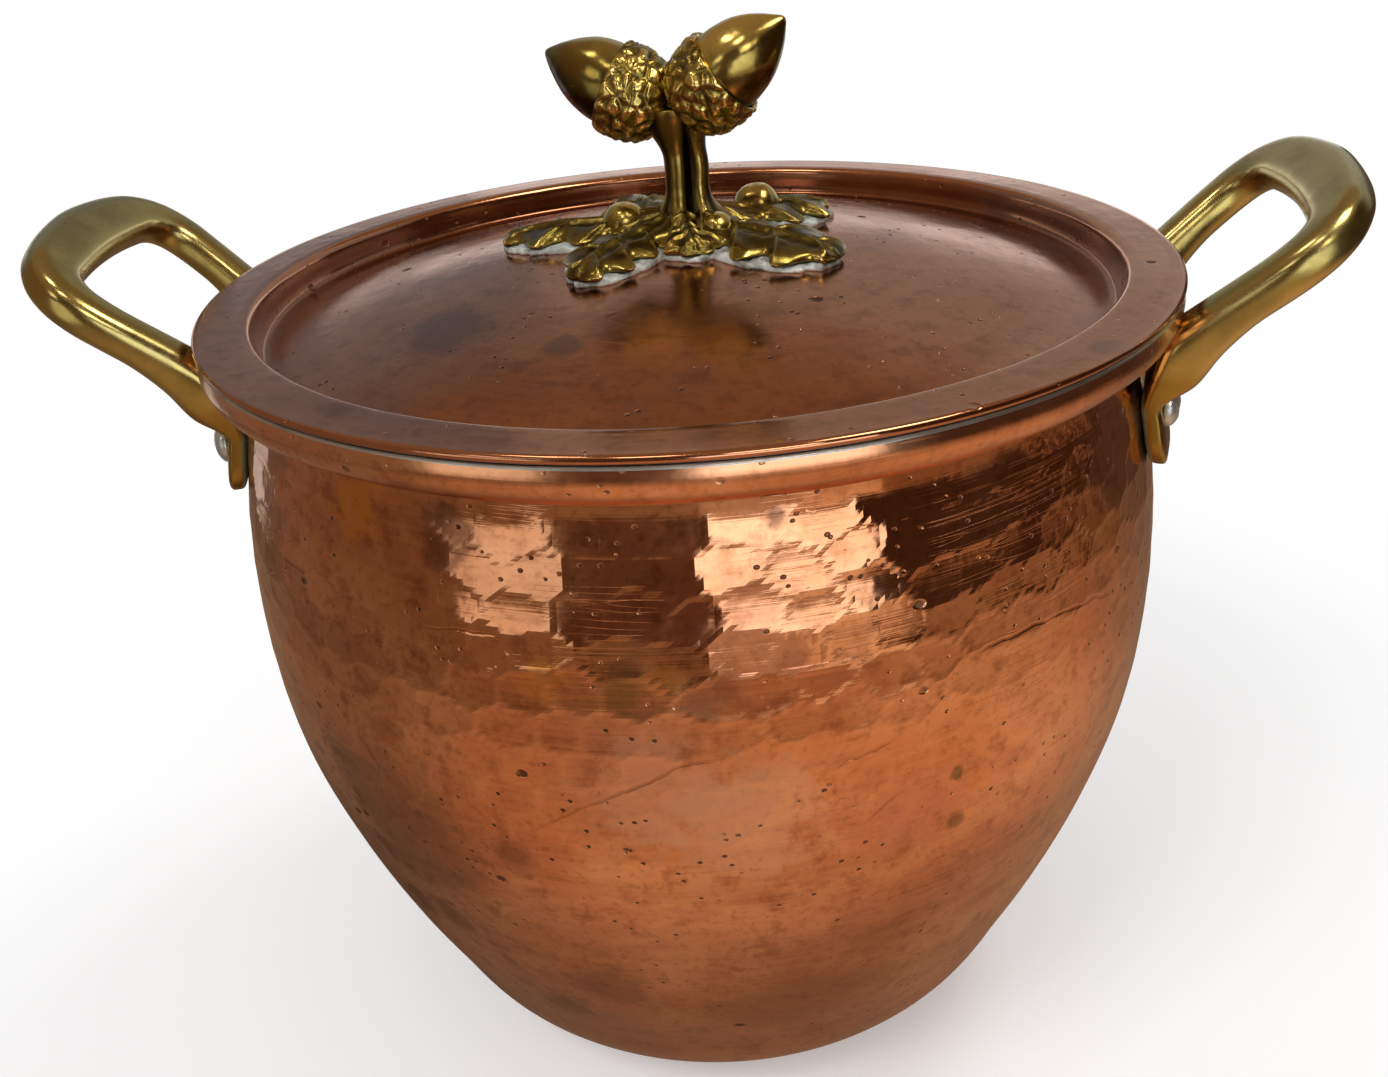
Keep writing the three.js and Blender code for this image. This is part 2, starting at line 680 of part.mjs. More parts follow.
// A round berry that sits in the leaves.
function berry(each) {
  const ceiling = FLANGE_TOP * 2;
  const above = turned(
    [...domeProfile(BED_TOP + REST_GAP), [VALLEY_RADIUS, ceiling], [0, ceiling]],
    ROUND_SIDES,
  );
  return berryBall(each, 0).intersect(above).subtract(leafCutter(REST_GAP));
}

// A point of the finial whose height is given above the top of the dome.
function finialPoint({ x, y, up }) {
  return new THREE.Vector3(x, y, DOME_TOP + up);
}

// The point where an acorn starts.
function acornBase({ side }) {
  return finialPoint({ x: side * ACORN_BASE_OUT, y: -side * ACORN_BASE_BACK, up: ACORN_HEIGHT });
}

// The unit direction from the base of an acorn to its tip.
function acornAim({ angle, rise }) {
  const lift = THREE.MathUtils.degToRad(rise);
  const turn = THREE.MathUtils.degToRad(angle);
  const level = Math.cos(lift);
  return new THREE.Vector3(level * Math.cos(turn), level * Math.sin(turn), Math.sin(lift));
}

// Turn a profile into a solid that starts at the base of an acorn and aims at its tip.
function aimed(profile, acorn) {
  const base = acornBase(acorn);
  const aim = acornAim(acorn);
  const points = profile.map(([radius, height]) => new THREE.Vector2(radius, height));
  const geometry = new THREE.LatheGeometry(points, ACORN_SIDES);
  geometry.applyQuaternion(
    new THREE.Quaternion().setFromUnitVectors(new THREE.Vector3(0, 1, 0), aim),
  );
  geometry.translate(base.x, base.y, base.z);
  return solidOf(geometry);
}

// The radius of the nut where it leaves the cup.
function nutRadius() {
  return CUP_RADIUS - CUP_LIP_THICKNESS - REST_GAP;
}

// An acorn cup with a shallow seat for the nut, or a full blank grown by a gap.
function cup(acorn, gap) {
  const outside = CUP_SHARES.map(([out, up]) => [
    out * CUP_RADIUS + gap,
    up * (CUP_LENGTH + gap * 2) - gap,
  ]);
  if (gap > 0) return aimed([[0, -gap], ...outside, [0, CUP_LENGTH + gap]], acorn);
  const seat = nutRadius() + REST_GAP;
  const floor = CUP_LENGTH - CUP_SEAT_DEPTH;
  const whole = aimed([[0, 0], ...outside, [seat, CUP_LENGTH], [seat, floor], [0, floor]], acorn);
  return sideOf(whole, acorn.side, CUP_SPLIT_X);
}

// Keep the part of a solid on one side of an upright plane, clear of it by half a gap.
function sideOf(solid, side, planeX) {
  const reach = CUP_RADIUS * 4;
  const half = new THREE.BoxGeometry(reach, reach * 2, FLANGE_TOP);
  half.translate(planeX + (side * (reach + REST_GAP)) / 2, 0, FLANGE_TOP + DOME_RISE);
  return solid.intersect(solidOf(half));
}

// A smooth pointed nut that stands in the seat of its cup.
function nut(acorn) {
  const from = CUP_LENGTH - CUP_SEAT_DEPTH + REST_GAP;
  const length = CUP_LENGTH + NUT_LENGTH - from;
  const outside = NUT_SHARES.map(([out, up]) => [out * nutRadius(), from + up * length]);
  return aimed([[0, from], ...outside, [0, from + length]], acorn);
}

// The radius of a twig at a share of its length: a flared foot, a slim middle, a fuller top.
function twigSection(share) {
  const foot = 1 - THREE.MathUtils.smoothstep(share, 0, TWIG_BASE_SHARE);
  const top = THREE.MathUtils.smoothstep(share, TWIG_TOP_SHARE, 1);
  const radius = THREE.MathUtils.lerp(TWIG_RADIUS, TWIG_TOP_RADIUS, top);
  const flared = THREE.MathUtils.lerp(radius, TWIG_BASE_RADIUS, foot);
  return { halfWidth: flared, halfDepth: flared };
}

// One of the twin twigs, from the solder bed to the back of its cup.
function twig(acorn) {
  const footX = TWIG_SPLIT_X + acorn.side * TWIG_SPACING;
  const curve = new THREE.CatmullRomCurve3([
    finialPoint({ x: footX, y: 0, up: BED_TOP + REST_GAP }),
    finialPoint({ x: footX, y: 0, up: TWIG_MIDDLE_HEIGHT }),
    acornBase(acorn).addScaledVector(acornAim(acorn), TWIG_HOLD),
  ]);
  const depthDirection = new THREE.Vector3(0, 1, 0);
  const stalk = swept(curve, TWIG_RINGS, TWIG_SIDES, 2, depthDirection, twigSection);
  const cups = ACORNS.map((other) => cup(other, REST_GAP));
  const balls = BERRIES.map((each) => berryBall(each, REST_GAP));
  const neighbours = [...cups, ...balls, leafCutter(REST_GAP)];
  const half = sideOf(stalk, acorn.side, TWIG_SPLIT_X);
  return neighbours.reduce((rest, neighbour) => rest.subtract(neighbour), half);
}

// The finial pieces, turned together about the axis.
function finial() {
  const group = new THREE.Group();
  group.name = "finial";
  group.add(meshOf("solder_bed", solderBed(), SOLDER));
  for (const leaf of LEAVES) {
    group.add(meshOf(leaf.name, leafPiece(leaf), OLD_BRASS));
  }
  for (const each of BERRIES) {
    group.add(meshOf(each.name, berry(each), OLD_BRASS));
  }
  for (const acorn of ACORNS) {
    group.add(meshOf(`twig_${acorn.name}`, twig(acorn), OLD_BRASS));
    group.add(meshOf(`acorn_cup_${acorn.name}`, cup(acorn, 0), OLD_BRASS));
    group.add(meshOf(`acorn_nut_${acorn.name}`, nut(acorn), OLD_BRASS));
  }
  group.rotation.z = FINIAL_TURN;
  return group;
}

function stockpot() {
  const group = new THREE.Group();
  group.name = "stockpot";
  group.add(meshOf("pot_body", potBody(), COPPER));
  for (const [side, angle] of Object.entries(handleAngles())) {
    group.add(meshOf(`handle_${side}`, handle(angle), BRASS));
  }
  for (const [name, angle] of Object.entries(rivetAngles())) {
    group.add(meshOf(name, rivet(angle), RIVET_METAL));
  }
  group.add(meshOf("lid", lidBody(), LID_COPPER));
  group.add(finial());
  return group;
}

export default stockpot();
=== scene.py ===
"""A copper stockpot with brass loop handles and an oak finial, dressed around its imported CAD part.

Sizes are millimetres in the part's own frame, with Z up and the pot standing on Z = 0. Every surface
is worked out as whole numpy arrays and put into a mesh in metres.
"""

import logging
import math
from dataclasses import dataclass, field
from enum import Enum

import bpy
import numpy as np
from mathutils import Matrix, Vector


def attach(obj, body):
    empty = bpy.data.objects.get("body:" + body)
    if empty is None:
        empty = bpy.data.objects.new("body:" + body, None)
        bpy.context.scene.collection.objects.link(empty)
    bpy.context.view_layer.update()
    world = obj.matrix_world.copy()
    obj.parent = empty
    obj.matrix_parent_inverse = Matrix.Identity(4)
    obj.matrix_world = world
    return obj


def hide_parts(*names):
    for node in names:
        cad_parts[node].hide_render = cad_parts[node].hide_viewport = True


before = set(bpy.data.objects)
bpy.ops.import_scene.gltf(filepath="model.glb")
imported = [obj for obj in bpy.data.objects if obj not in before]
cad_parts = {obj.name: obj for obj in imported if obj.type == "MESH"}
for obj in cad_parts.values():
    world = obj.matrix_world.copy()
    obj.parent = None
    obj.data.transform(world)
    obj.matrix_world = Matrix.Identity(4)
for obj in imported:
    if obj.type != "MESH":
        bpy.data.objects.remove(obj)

Triple = tuple[float, float, float]
Pairs = tuple[tuple[float, float], ...]
Array = np.ndarray
Values = np.ndarray | float
Metal = bpy.types.Material

MM = 0.001
FULL_TURN = 2 * math.pi
WHITE: Triple = (1.0, 1.0, 1.0)
log = logging.getLogger("stockpot")


class Body(Enum):
    """The two bodies of the part."""

    POT = "pot"
    LID = "lid"


class Side(Enum):
    """The two sides that have a handle."""

    RIGHT = "right"
    LEFT = "left"


class Grain(Enum):
    """Which way the brushed lines of a turned piece change."""

    HEIGHT = "height"
    RADIUS = "radius"


# Surfaces


@dataclass
class Surface:
    """A mesh in the making, in millimetres.

    Attributes:
        points: The vertices, one row of x, y, z each.
        faces: Arrays of vertex numbers, one row a face, each array with its own face size.
        marks: Named values, one for each vertex.
    """

    points: Array
    faces: list[Array]
    marks: dict[str, Array] = field(default_factory=dict)

    def turned(self, angle: float) -> "Surface":
        """The surface turned about the Z axis.

        Args:
            angle: How far, in radians.

        Returns:
            A new surface.
        """
        cos, sin = math.cos(angle), math.sin(angle)
        spin = np.array([[cos, sin, 0], [-sin, cos, 0], [0, 0, 1]])
        return Surface(self.points @ spin, self.faces, self.marks)

    def outward(self) -> "Surface":
        """The surface with its faces pointing out of the body that they close.

        The volume's sign tells: the sum of a . (b x c) over the triangles that fan out of each face.

        Returns:
            The same surface.
        """
        volume = 0.0
        for face in self.faces:
            around = self.points[face]
            for k in range(1, face.shape[1] - 1):
                area = np.cross(around[:, k], around[:, k + 1])
                volume += float(np.einsum("ij,ij->", around[:, 0], area))
        if volume < 0:
            self.faces = [face[:, ::-1] for face in self.faces]
        return self


def turns(sides: int) -> Array:
    """Angles in even steps once round."""
    return np.linspace(0, FULL_TURN, sides, endpoint=False)


def points_at(x: Values, y: Values, z: Values) -> Array:
    """Points from their three coordinates, broadcast together."""
    return np.stack(np.broadcast_arrays(x, y, z), axis=-1)


def polar(radius: Values, turn: Values, height: Values) -> Array:
    """Points from their distance to the axis, angle and height, broadcast together."""
    return points_at(radius * np.cos(turn), radius * np.sin(turn), height)


def unit(vectors: Array) -> Array:
    """Vectors brought to a length of one."""
    return vectors / np.linalg.norm(vectors, axis=-1, keepdims=True)


def quads_between(number: Array) -> Array:
    """The quads between neighbouring rows and columns of a table of vertex numbers."""
    around = [number[:-1, :-1], number[:-1, 1:], number[1:, 1:], number[1:, :-1]]
    return np.stack(around, axis=-1).reshape(-1, 4)


def grid_surface(
    grid: Array,
    marks: dict[str, Array] | None = None,
    first_pole: Array | None = None,
    last_pole: Array | None = None,
) -> Surface:
    """A closed surface from rings of points: quads between rings and a fan to each pole.

    Args:
        grid: Points as rows of rings, columns round the ring, and x, y, z.
        marks: Named values that fit the rows and columns.
        first_pole: The point that closes the first ring; the ring's mean if left out.
        last_pole: The same for the last ring.

    Returns:
        The surface, with its faces pointing outwards.
    """
    rows, columns, _ = grid.shape
    number = np.arange(rows * columns).reshape(rows, columns)
    number = np.hstack([number, number[:, :1]])
    first, last = (np.full(columns, rows * columns + end) for end in (0, 1))
    fans = [
        np.stack([first, number[0, 1:], number[0, :-1]], axis=-1),
        np.stack([last, number[-1, :-1], number[-1, 1:]], axis=-1),
    ]
    poles = [
        grid[0].mean(axis=0) if first_pole is None else first_pole,
        grid[-1].mean(axis=0) if last_pole is None else last_pole,
    ]
    values = {}
    for name, mark in (marks or {}).items():
        mark = np.broadcast_to(mark, (rows, columns))
        values[name] = np.concatenate([mark.ravel(), [mark[0].mean(), mark[-1].mean()]])
    points = np.vstack([grid.reshape(-1, 3), poles])
    return Surface(points, [quads_between(number), np.vstack(fans)], values).outward()


def smooth_path(knots: Array, count: int = 0, spacing: float = 0) -> Array:
    """A centripetal Catmull-Rom curve through the knots, in steps of equal length.

    Each span is the cubic whose end slopes are d1 * ((b - a) / d0 - (c - a) / (d0 + d1)
    + (c - b) / d1), where each d is the square root of the distance between two knots.

    Args:
        knots: The points that the curve goes through.
        count: How many points to return, or 0 to use the spacing.
        spacing: The distance between returned points.

    Returns:
        The points of the curve, one row each.
    """
    knots = np.asarray(knots, float)
    ends = np.vstack([2 * knots[:1] - knots[1:2], knots, 2 * knots[-1:] - knots[-2:-1]])
    steps = np.sqrt(np.linalg.norm(np.diff(ends, axis=0), axis=1))[:, None]
    a, b, c, d = ends[:-3], ends[1:-2], ends[2:-1], ends[3:]
    d0, d1, d2 = steps[:-2], steps[1:-1], steps[2:]
    leaving = d1 * ((b - a) / d0 - (c - a) / (d0 + d1) + (c - b) / d1)
    arriving = d1 * ((c - b) / d1 - (d - b) / (d1 + d2) + (d - c) / d2)
    steps_a_span = 60
    t = np.linspace(0, 1, steps_a_span)[None, :, None]
    b, c, leaving, arriving = (v[:, None, :] for v in (b, c, leaving, arriving))
    square = (3 * (c - b) - 2 * leaving - arriving) * t**2
    cube = (2 * (b - c) + leaving + arriving) * t**3
    line = (b + leaving * t + square + cube).reshape(-1, knots.shape[1])
    run = np.concatenate([[0], np.cumsum(np.linalg.norm(np.diff(line, axis=0), axis=1))])
    count = count or max(2, int(round(run[-1] / spacing)) + 1)
    places = np.linspace(0, run[-1], count)
    return np.stack([np.interp(places, run, column) for column in line.T], axis=1)


def smoothstep(value: Values, low: float, high: float) -> Array:
    """3t^2 - 2t^3 of the value's share of the way from low to high, held between 0 and 1."""
    t = np.clip((np.asarray(value, float) - low) / (high - low), 0, 1)
    return t * t * (3 - 2 * t)


def softened(values: Array, width: int) -> Array:
    """The mean of each value and its neighbours under a bell of a width, where it fits."""
    window = np.hanning(width)
    return np.convolve(values, window / window.sum(), "valid")


def chained(*parts: Array) -> Array:
    """Profiles joined end to end, leaving out the points that would come twice.

    Args:
        parts: The profiles.

    Returns:
        One profile.
    """
    kept = [parts[0]]
    for part in parts[1:]:
        same = np.linalg.norm(part[0] - kept[-1][-1]) < 1e-6
        kept.append(part[1:] if same else part)
    return np.vstack(kept)


def offset_profile(profile: Array, distance: float) -> Array:
    """A profile moved along the mean of its neighbours' normals, (-dz, dr) / length.

    Args:
        profile: Radius and height.
        distance: How far it moves, to its left when positive.

    Returns:
        The moved profile.
    """
    step = unit(np.gradient(profile, axis=0))
    moved = profile + distance * np.stack([-step[:, 1], step[:, 0]], axis=1)
    moved[:, 0] = np.maximum(moved[:, 0], 0)
    return moved


def edge_wear(profile: Array) -> Array:
    """How sharply a profile turns left: its change of heading over length, softened over five points.

    Args:
        profile: Radius and height.

    Returns:
        A column of values, from 0 on flats to 1 on an edge.
    """
    step = np.diff(profile, axis=0)
    heading = np.unwrap(np.arctan2(step[:, 1], step[:, 0]))
    length = np.linalg.norm(step, axis=1)
    turn = np.diff(heading) / (length[:-1] + length[1:]) * 2
    turn = np.concatenate([[0], np.clip(turn, 0, None), [0]])
    window, gain = 5, 2.2
    return np.clip(np.convolve(turn, np.ones(window) / window, "same") * gain, 0, 1)[:, None]


@dataclass(frozen=True)
class Lumps:
    """Smooth, random unevenness over space, from a lattice of random numbers.

    Attributes:
        height: How far it goes up and down.
        width: The width of a lattice cell.
        seed: The number that fixes the lattice.
        shift: How far the lattice is shifted along each axis.
    """

    height: float
    width: float
    seed: int
    shift: float = 0.0

    def at(self, points: Array) -> Array:
        """The eight lattice numbers round each point, mixed with smoothstep weights.

        Args:
            points: Where to read the values, with x, y, z last.

        Returns:
            One value for each point.
        """
        cells = 32
        lattice = np.random.default_rng(self.seed).uniform(-1, 1, (cells, cells, cells))
        place = (points + self.shift) / self.width
        low = np.floor(place).astype(int)
        share = place - low
        share = share * share * (3 - 2 * share)
        total = np.zeros(place.shape[:-1])
        for corner in np.ndindex(2, 2, 2):
            index = tuple(((low + corner) % cells)[..., axis] for axis in range(3))
            weight = np.prod(np.where(np.array(corner) == 1, share, 1 - share), axis=-1)
            total += weight * lattice[index]
        return self.height * total


def nearest_sites(u: Array, v: Array, columns: int, jitter: float, seed: int) -> tuple[Array, Array]:
    """Squared distances to the nearest and second nearest of a jittered grid of sites.

    One site sits in each unit cell, and every other row is shifted by half a cell.

    Args:
        u: Place round the piece, in cells.
        v: Place along the piece, in cells.
        columns: How many cells make one turn.
        jitter: How far a site may stray from the middle of its cell.
        seed: The number that fixes the sites.

    Returns:
        The two distances, in cells squared.
    """
    rows, beyond_all = 256, 9.0
    stray = np.random.default_rng(seed).uniform(-jitter, jitter, (rows, columns, 2))
    row = np.floor(v).astype(int)
    best = np.full(np.shape(u), beyond_all)
    second = best.copy()
    for up in (-1, 0, 1):
        shift = ((row + up) % 2) * 0.5
        column = np.floor(u - shift).astype(int)
        for across in (-1, 0, 1):
            site = stray[(row + up) % rows, (column + across) % columns]
            du = u - (column + across + 0.5 + shift + site[..., 0])
            dv = v - (row + up + 0.5 + site[..., 1])
            distance = du * du + dv * dv
            second = np.minimum(second, np.maximum(best, distance))
            best = np.minimum(best, distance)
    return best, second


def put_mesh(name: str, surface: Surface, *materials: Metal) -> bpy.types.Object:
    """Make an object at the origin from a surface.

    Args:
        name: The piece's name.
        surface: The surface. Its mark "skin", if any, gives each face the number of its material.
        materials: The materials, in the order of the skin numbers.

    Returns:
        The new object, linked to the scene.
    """
    mesh = bpy.data.meshes.new(name)
    faces = [row for face in surface.faces for row in face.tolist()]
    mesh.from_pydata((surface.points * MM).tolist(), [], faces)
    for material in materials:
        mesh.materials.append(material)
    for key, values in surface.marks.items():
        if key == "skin":
            skins = [np.rint(values[face].mean(axis=1)) for face in surface.faces]
            mesh.polygons.foreach_set("material_index", np.concatenate(skins).astype(np.int32))
        else:
            attribute = mesh.attributes.new(key, "FLOAT", "POINT")
            attribute.data.foreach_set("value", values.astype(np.float32))
    mesh.shade_smooth()
    mesh.update()
    piece = bpy.data.objects.new(name, mesh)
    bpy.context.scene.collection.objects.link(piece)
    return piece


def dress(name: str, surface: Surface, body: Body, slot: str, node: str, *materials: Metal) -> None:
    """Make a piece of the part.

    Args:
        name: The piece's name.
        surface: Its surface.
        body: The body that it rides on.
        slot: The name of a material slot; not used.
        node: The CAD node that it stands for.
        materials: Its materials.
    """
    piece = put_mesh(name, surface, *materials)
    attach(piece, body.value)
    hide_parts(node)
    log.info("%s on %s, %d faces", name, body.value, len(piece.data.polygons))


# Node trees


class Wire:
    """A socket of a node tree. A sum or product with a wire or number adds a Math node."""

    def __init__(self, graph: "Graph", socket: bpy.types.NodeSocket) -> None:
        """Keep the socket and the graph that it belongs to."""
        self.graph, self.socket = graph, socket

    def __add__(self, other: "Wire | float") -> "Wire":
        """This and another added up."""
        return self.graph.math("ADD", self, other)

    def __sub__(self, other: "Wire | float") -> "Wire":
        """This less another."""
        return self.graph.math("SUBTRACT", self, other)

    def __rsub__(self, other: float) -> "Wire":
        """A number less this."""
        return self.graph.math("SUBTRACT", other, self)

    def __mul__(self, other: "Wire | float") -> "Wire":
        """This times another."""
        return self.graph.math("MULTIPLY", self, other)

    def most(self, other: "Wire | float") -> "Wire":
        """The larger of this and another."""
        return self.graph.math("MAXIMUM", self, other)

    def span(self, low: float, high: float, start: float = 0, end: float = 1) -> "Wire":
        """This carried smoothly from low to high onto start to end."""
        sources = dict(enumerate((self, low, high, start, end)))
        return self.graph.wire("MapRange", sources, interpolation_type="SMOOTHSTEP")

    def line(self, width: float) -> "Wire":
        """A line of a half width, in full at the middle fifth, where this is about zero."""
        return self.graph.math("ABSOLUTE", self).span(width, width * 0.2)


Source = Wire | float
Paint = Wire | Triple


class Graph:
    """The node tree of one material or world, in short calls."""

    def __init__(self, owner: bpy.types.ID) -> None:
        """Clear the tree of a new material or world.

        Args:
            owner: The material or world.
        """
        owner.use_nodes = True
        self.owner, self.tree = owner, owner.node_tree
        self.tree.nodes.clear()

    def add(self, kind: str, sources: dict | None = None, **settings: object) -> bpy.types.Node:
        """Add a node.

        Args:
            kind: Its type, without ShaderNode in front.
            sources: A wire or a value for each input, by number or name.
            settings: Its properties.

        Returns:
            The node.
        """
        node = self.tree.nodes.new(f"ShaderNode{kind}")
        for key, value in settings.items():
            setattr(node, key, value)
        for key, source in (sources or {}).items():
            socket = node.inputs[key]
            if isinstance(source, Wire):
                self.tree.links.new(source.socket, socket)
            else:
                socket.default_value = (*source, 1.0) if socket.type == "RGBA" else source
        return node

    def wire(self, kind: str, sources: dict | None = None, out: int | str = 0, **settings: object) -> Wire:
        """Add a node and return the wire from one of its outputs."""
        return Wire(self, self.add(kind, sources, **settings).outputs[out])

    def math(self, operation: str, *values: Source) -> Wire:
        """The result of a Math node."""
        return self.wire("Math", dict(enumerate(values)), operation=operation)

    def place(self) -> Wire:
        """The point's Object coordinates."""
        return self.wire("TexCoord", out="Object")

    def parts(self, place: Wire) -> tuple[Wire, Wire, Wire, Wire]:
        """The x, y, z and distance from the axis of a point."""
        x, y, z = (Wire(self, socket) for socket in self.add("SeparateXYZ", {0: place}).outputs)
        return x, y, z, self.math("SQRT", x * x + y * y)

    def dot(self, place: Wire, way: Vector, start: Vector) -> Wire:
        """How far a point lies along a unit direction from a start, in metres."""
        sources = {0: place, 1: tuple(way)}
        return self.wire("VectorMath", sources, "Value", operation="DOT_PRODUCT") - start.dot(way)

    def mark(self, name: str) -> Wire:
        """A value kept on the piece's points."""
        return self.wire("Attribute", out="Fac", attribute_name=name)

    def stretched(self, vector: Wire, scale: Triple, turn: Triple = (0, 0, 0)) -> Wire:
        """A vector turned and stretched."""
        return self.wire("Mapping", {"Vector": vector, "Rotation": turn, "Scale": scale})

    def noise(self, vector: Wire, scale: float, detail: float = 4, rough: float = 0.55) -> Wire:
        """A noise value about 0.5 at each point."""
        sources = {"Vector": vector, "Scale": scale, "Detail": detail, "Roughness": rough}
        return self.wire("TexNoise", sources)

    def cells(self, vector: Wire, scale: float) -> Wire:
        """The distance to the nearest of scattered points."""
        return self.wire("TexVoronoi", {"Vector": vector, "Scale": scale}, "Distance")

    def coated(self, colour: Paint, *coats: tuple[Source, Paint]) -> Wire:
        """A colour under coats of other colours.

        Args:
            colour: The first colour.
            coats: How much each coat covers, and its colour, from the lowest up.

        Returns:
            The colour on top.
        """
        share_input, below_input, above_input, colour_output = 0, 6, 7, 2
        for share, above in coats:
            sources = {share_input: share, below_input: colour, above_input: above}
            colour = self.wire("Mix", sources, colour_output, data_type="RGBA", clamp_factor=True)
        return colour

    def emission(self, colour: Triple, strength: Source = 1.0) -> Wire:
        """A light that a surface gives off."""
        return self.wire("Emission", {"Color": colour, "Strength": strength})

    def finish(self, colour: Wire, rough: Wire, height: Wire, depth: float, metallic: Source = 1.0) -> Metal:
        """Join a Principled shader with a bump to the output.

        Args:
            colour: The colour.
            rough: The roughness.
            height: The height of the bump, from 0 to 1.
            depth: What a height of 1 measures, in metres.
            metallic: How metallic it is.

        Returns:
            The material.
        """
        normal = self.wire("Bump", {"Height": height, "Distance": depth, "Strength": 1.0})
        sources = {"Base Color": colour, "Roughness": rough, "Metallic": metallic, "Normal": normal}
        return self.output(self.wire("BsdfPrincipled", sources))

    def output(self, shader: Wire, kind: str = "OutputMaterial") -> bpy.types.ID:
        """Join a shader to the output and return the material or world."""
        self.add(kind, {0: shader})
        return self.owner


def new_graph(name: str) -> Graph:
    """The empty graph of a new material."""
    return Graph(bpy.data.materials.new(name))


# Finishes


@dataclass(frozen=True)
class Stain:
    """A ragged stain: its middle and reach in millimetres, its colour and how much it covers."""

    place: Triple
    reach: float
    colour: Triple
    cover: float = 0.6


@dataclass(frozen=True)
class Scar:
    """A long scratch between two points of the wall, in millimetres, with its half width."""

    start: Triple
    end: Triple
    width: float = 0.5


@dataclass(frozen=True)
class Copper:
    """Brushed, stained copper with pits, hairline scratches, and a foot darkened by painted shade.

    Attributes:
        name: The material's name.
        body: The main colour.
        light: The colour of cleaner places, and of the painted highlights on the hammer creases.
        dark: The colour of brown stains, and of the painted shade.
        flush: The colour of purplish patches.
        grain: Which way the brushed lines change.
        gloss: The roughness of the clean metal.
        matt: The roughness of the dullest stains.
        banding: How strongly the turned bands darken.
        foot: The height in metres below which the copper is darkened as painted shade, or 0.
        stains: The stains that lie at known places.
        scars: The scratches that lie at known places.
        pit: The colour inside the pits.
    """

    name: str
    body: Triple
    light: Triple
    dark: Triple
    flush: Triple
    grain: Grain
    gloss: float
    matt: float
    banding: float
    foot: float = 0.0
    stains: tuple[Stain, ...] = ()
    scars: tuple[Scar, ...] = ()
    pit: Triple = (0.045, 0.026, 0.02)

    def material(self) -> Metal:
        """The material, from noise in Object coordinates and the marks wear, crease and painted_shade; the
        creases get a painted highlight, and painted_shade darkens as painted shade.

        Returns:
            The material.
        """
        g = new_graph(self.name)
        place = g.place()
        x, y, z, radius = g.parts(place)
        lathe = g.wire("CombineXYZ", {0: x, 1: y, 2: z if self.grain is Grain.HEIGHT else radius})
        brush = g.noise(g.stretched(lathe, (14, 14, 900)), 1, 3, 0.7)
        bands = g.noise(g.stretched(lathe, (7, 7, 60)), 1, 4, 0.6)
        cloud = g.noise(place, 17, 5, 0.62)
        patch = g.noise(g.stretched(place, (1, 1, 1.7), (0.4, 0.2, 0)), 34, 4, 0.6)
        mottle = g.noise(place, 150, 4, 0.65)
        colour = g.coated(
            self.body,
            (cloud.span(0.36, 0.66), self.light),
            (bands.span(0.46, 0.68, 0, self.banding), self.dark),
            (patch.span(0.52, 0.7, 0, 0.7), self.flush),
            (mottle.span(0.48, 0.7, 0, 0.6), self.dark),
            (g.noise(place, 520, 3).span(0.5, 0.75, 0, 0.4), self.dark),
            (brush.span(0.35, 0.65, 0, 0.2), self.light),
        )
        rough = (cloud + bands * 0.6).span(0.6, 1.0, self.gloss, self.matt)
        for stain in self.stains:
            reach = stain.reach * MM
            sources = {0: place, 1: tuple(v * MM for v in stain.place)}
            away = g.wire("VectorMath", sources, "Value", operation="DISTANCE")
            ragged = (mottle - 0.5) * (reach * 2.2) + (patch - 0.5) * (reach * 2.4)
            share = (away + ragged).span(reach * 1.25, reach * 0.55)
            colour = g.coated(colour, (share * stain.cover, stain.colour))
            rough = rough + share * 0.08
        # Painted shade: the copper darkens towards the floor.
        if self.foot:
            low = (z + (cloud - 0.5) * 0.12).span(self.foot, -0.01)
            colour = g.coated(colour, (low * 0.6, self.dark))
            rough = rough + z.span(0.16, 0.05, 0, 0.17) + z.span(0.2, 0.203, 0, 0.12)
        speck, hairs, groove = self.specks(g, place), self.hairlines(g, place), self.scratches(g, place)
        worn, crease = g.mark("wear"), g.mark("crease")
        # The crease mark lightens the hammer creases as a painted highlight; painted_shade darkens as painted
        # shade.
        colour = g.coated(
            colour,
            (speck * 0.85, self.pit),
            (hairs * 0.22, self.light),
            (groove * 0.4, self.dark),
            (worn * 0.6, self.light),
            (crease * 0.3, self.light),
            (g.mark("painted_shade") * 0.75, self.dark),
        )
        height = brush * 0.14 + crease * 0.45 + g.noise(place, 70, 3) * 0.9
        height = height - speck * 1.6 - hairs * 0.12 - groove * 0.35
        return g.finish(colour, rough + speck * 0.3 - worn * 0.04, height, 0.00016)

    def specks(self, g: Graph, place: Wire) -> Wire:
        """Oval pits of one to three millimetres, and pinholes in clusters.

        Args:
            g: The material's graph.
            place: Where the point lies.

        Returns:
            A wire that is 1 in a pit.
        """
        pits = g.cells(g.stretched(place, (1, 1, 1.5), (0.3, 0, 0)), 62).span(0.105, 0.06)
        holes = g.cells(g.stretched(place, (1, 1, 1.3)), 230).span(0.16, 0.09)
        few = g.noise(place, 33, 2).span(0.5, 0.56)
        return (pits * few).most(holes * g.noise(place, 52, 3).span(0.49, 0.58))

    def hairlines(self, g: Graph, place: Wire) -> Wire:
        """Thin scratches: the zero lines of long, narrow noise in three directions.

        Args:
            g: The material's graph.
            place: Where the point lies.

        Returns:
            A wire that is 1 on a scratch.
        """
        lines = []
        for turn, length in (((0.5, 0.3, 0.2), 330), ((-0.6, 0.9, 1.1), 390), ((0.16, -0.2, 2.2), 300)):
            streak = g.noise(g.stretched(place, (9, 9, length), turn), 1, 1, 0.4)
            lines.append(g.math("ABSOLUTE", streak - 0.5).span(0.006, 0.0))
        return lines[0].most(lines[1]).most(lines[2]) * g.noise(place, 27, 3).span(0.5, 0.64)

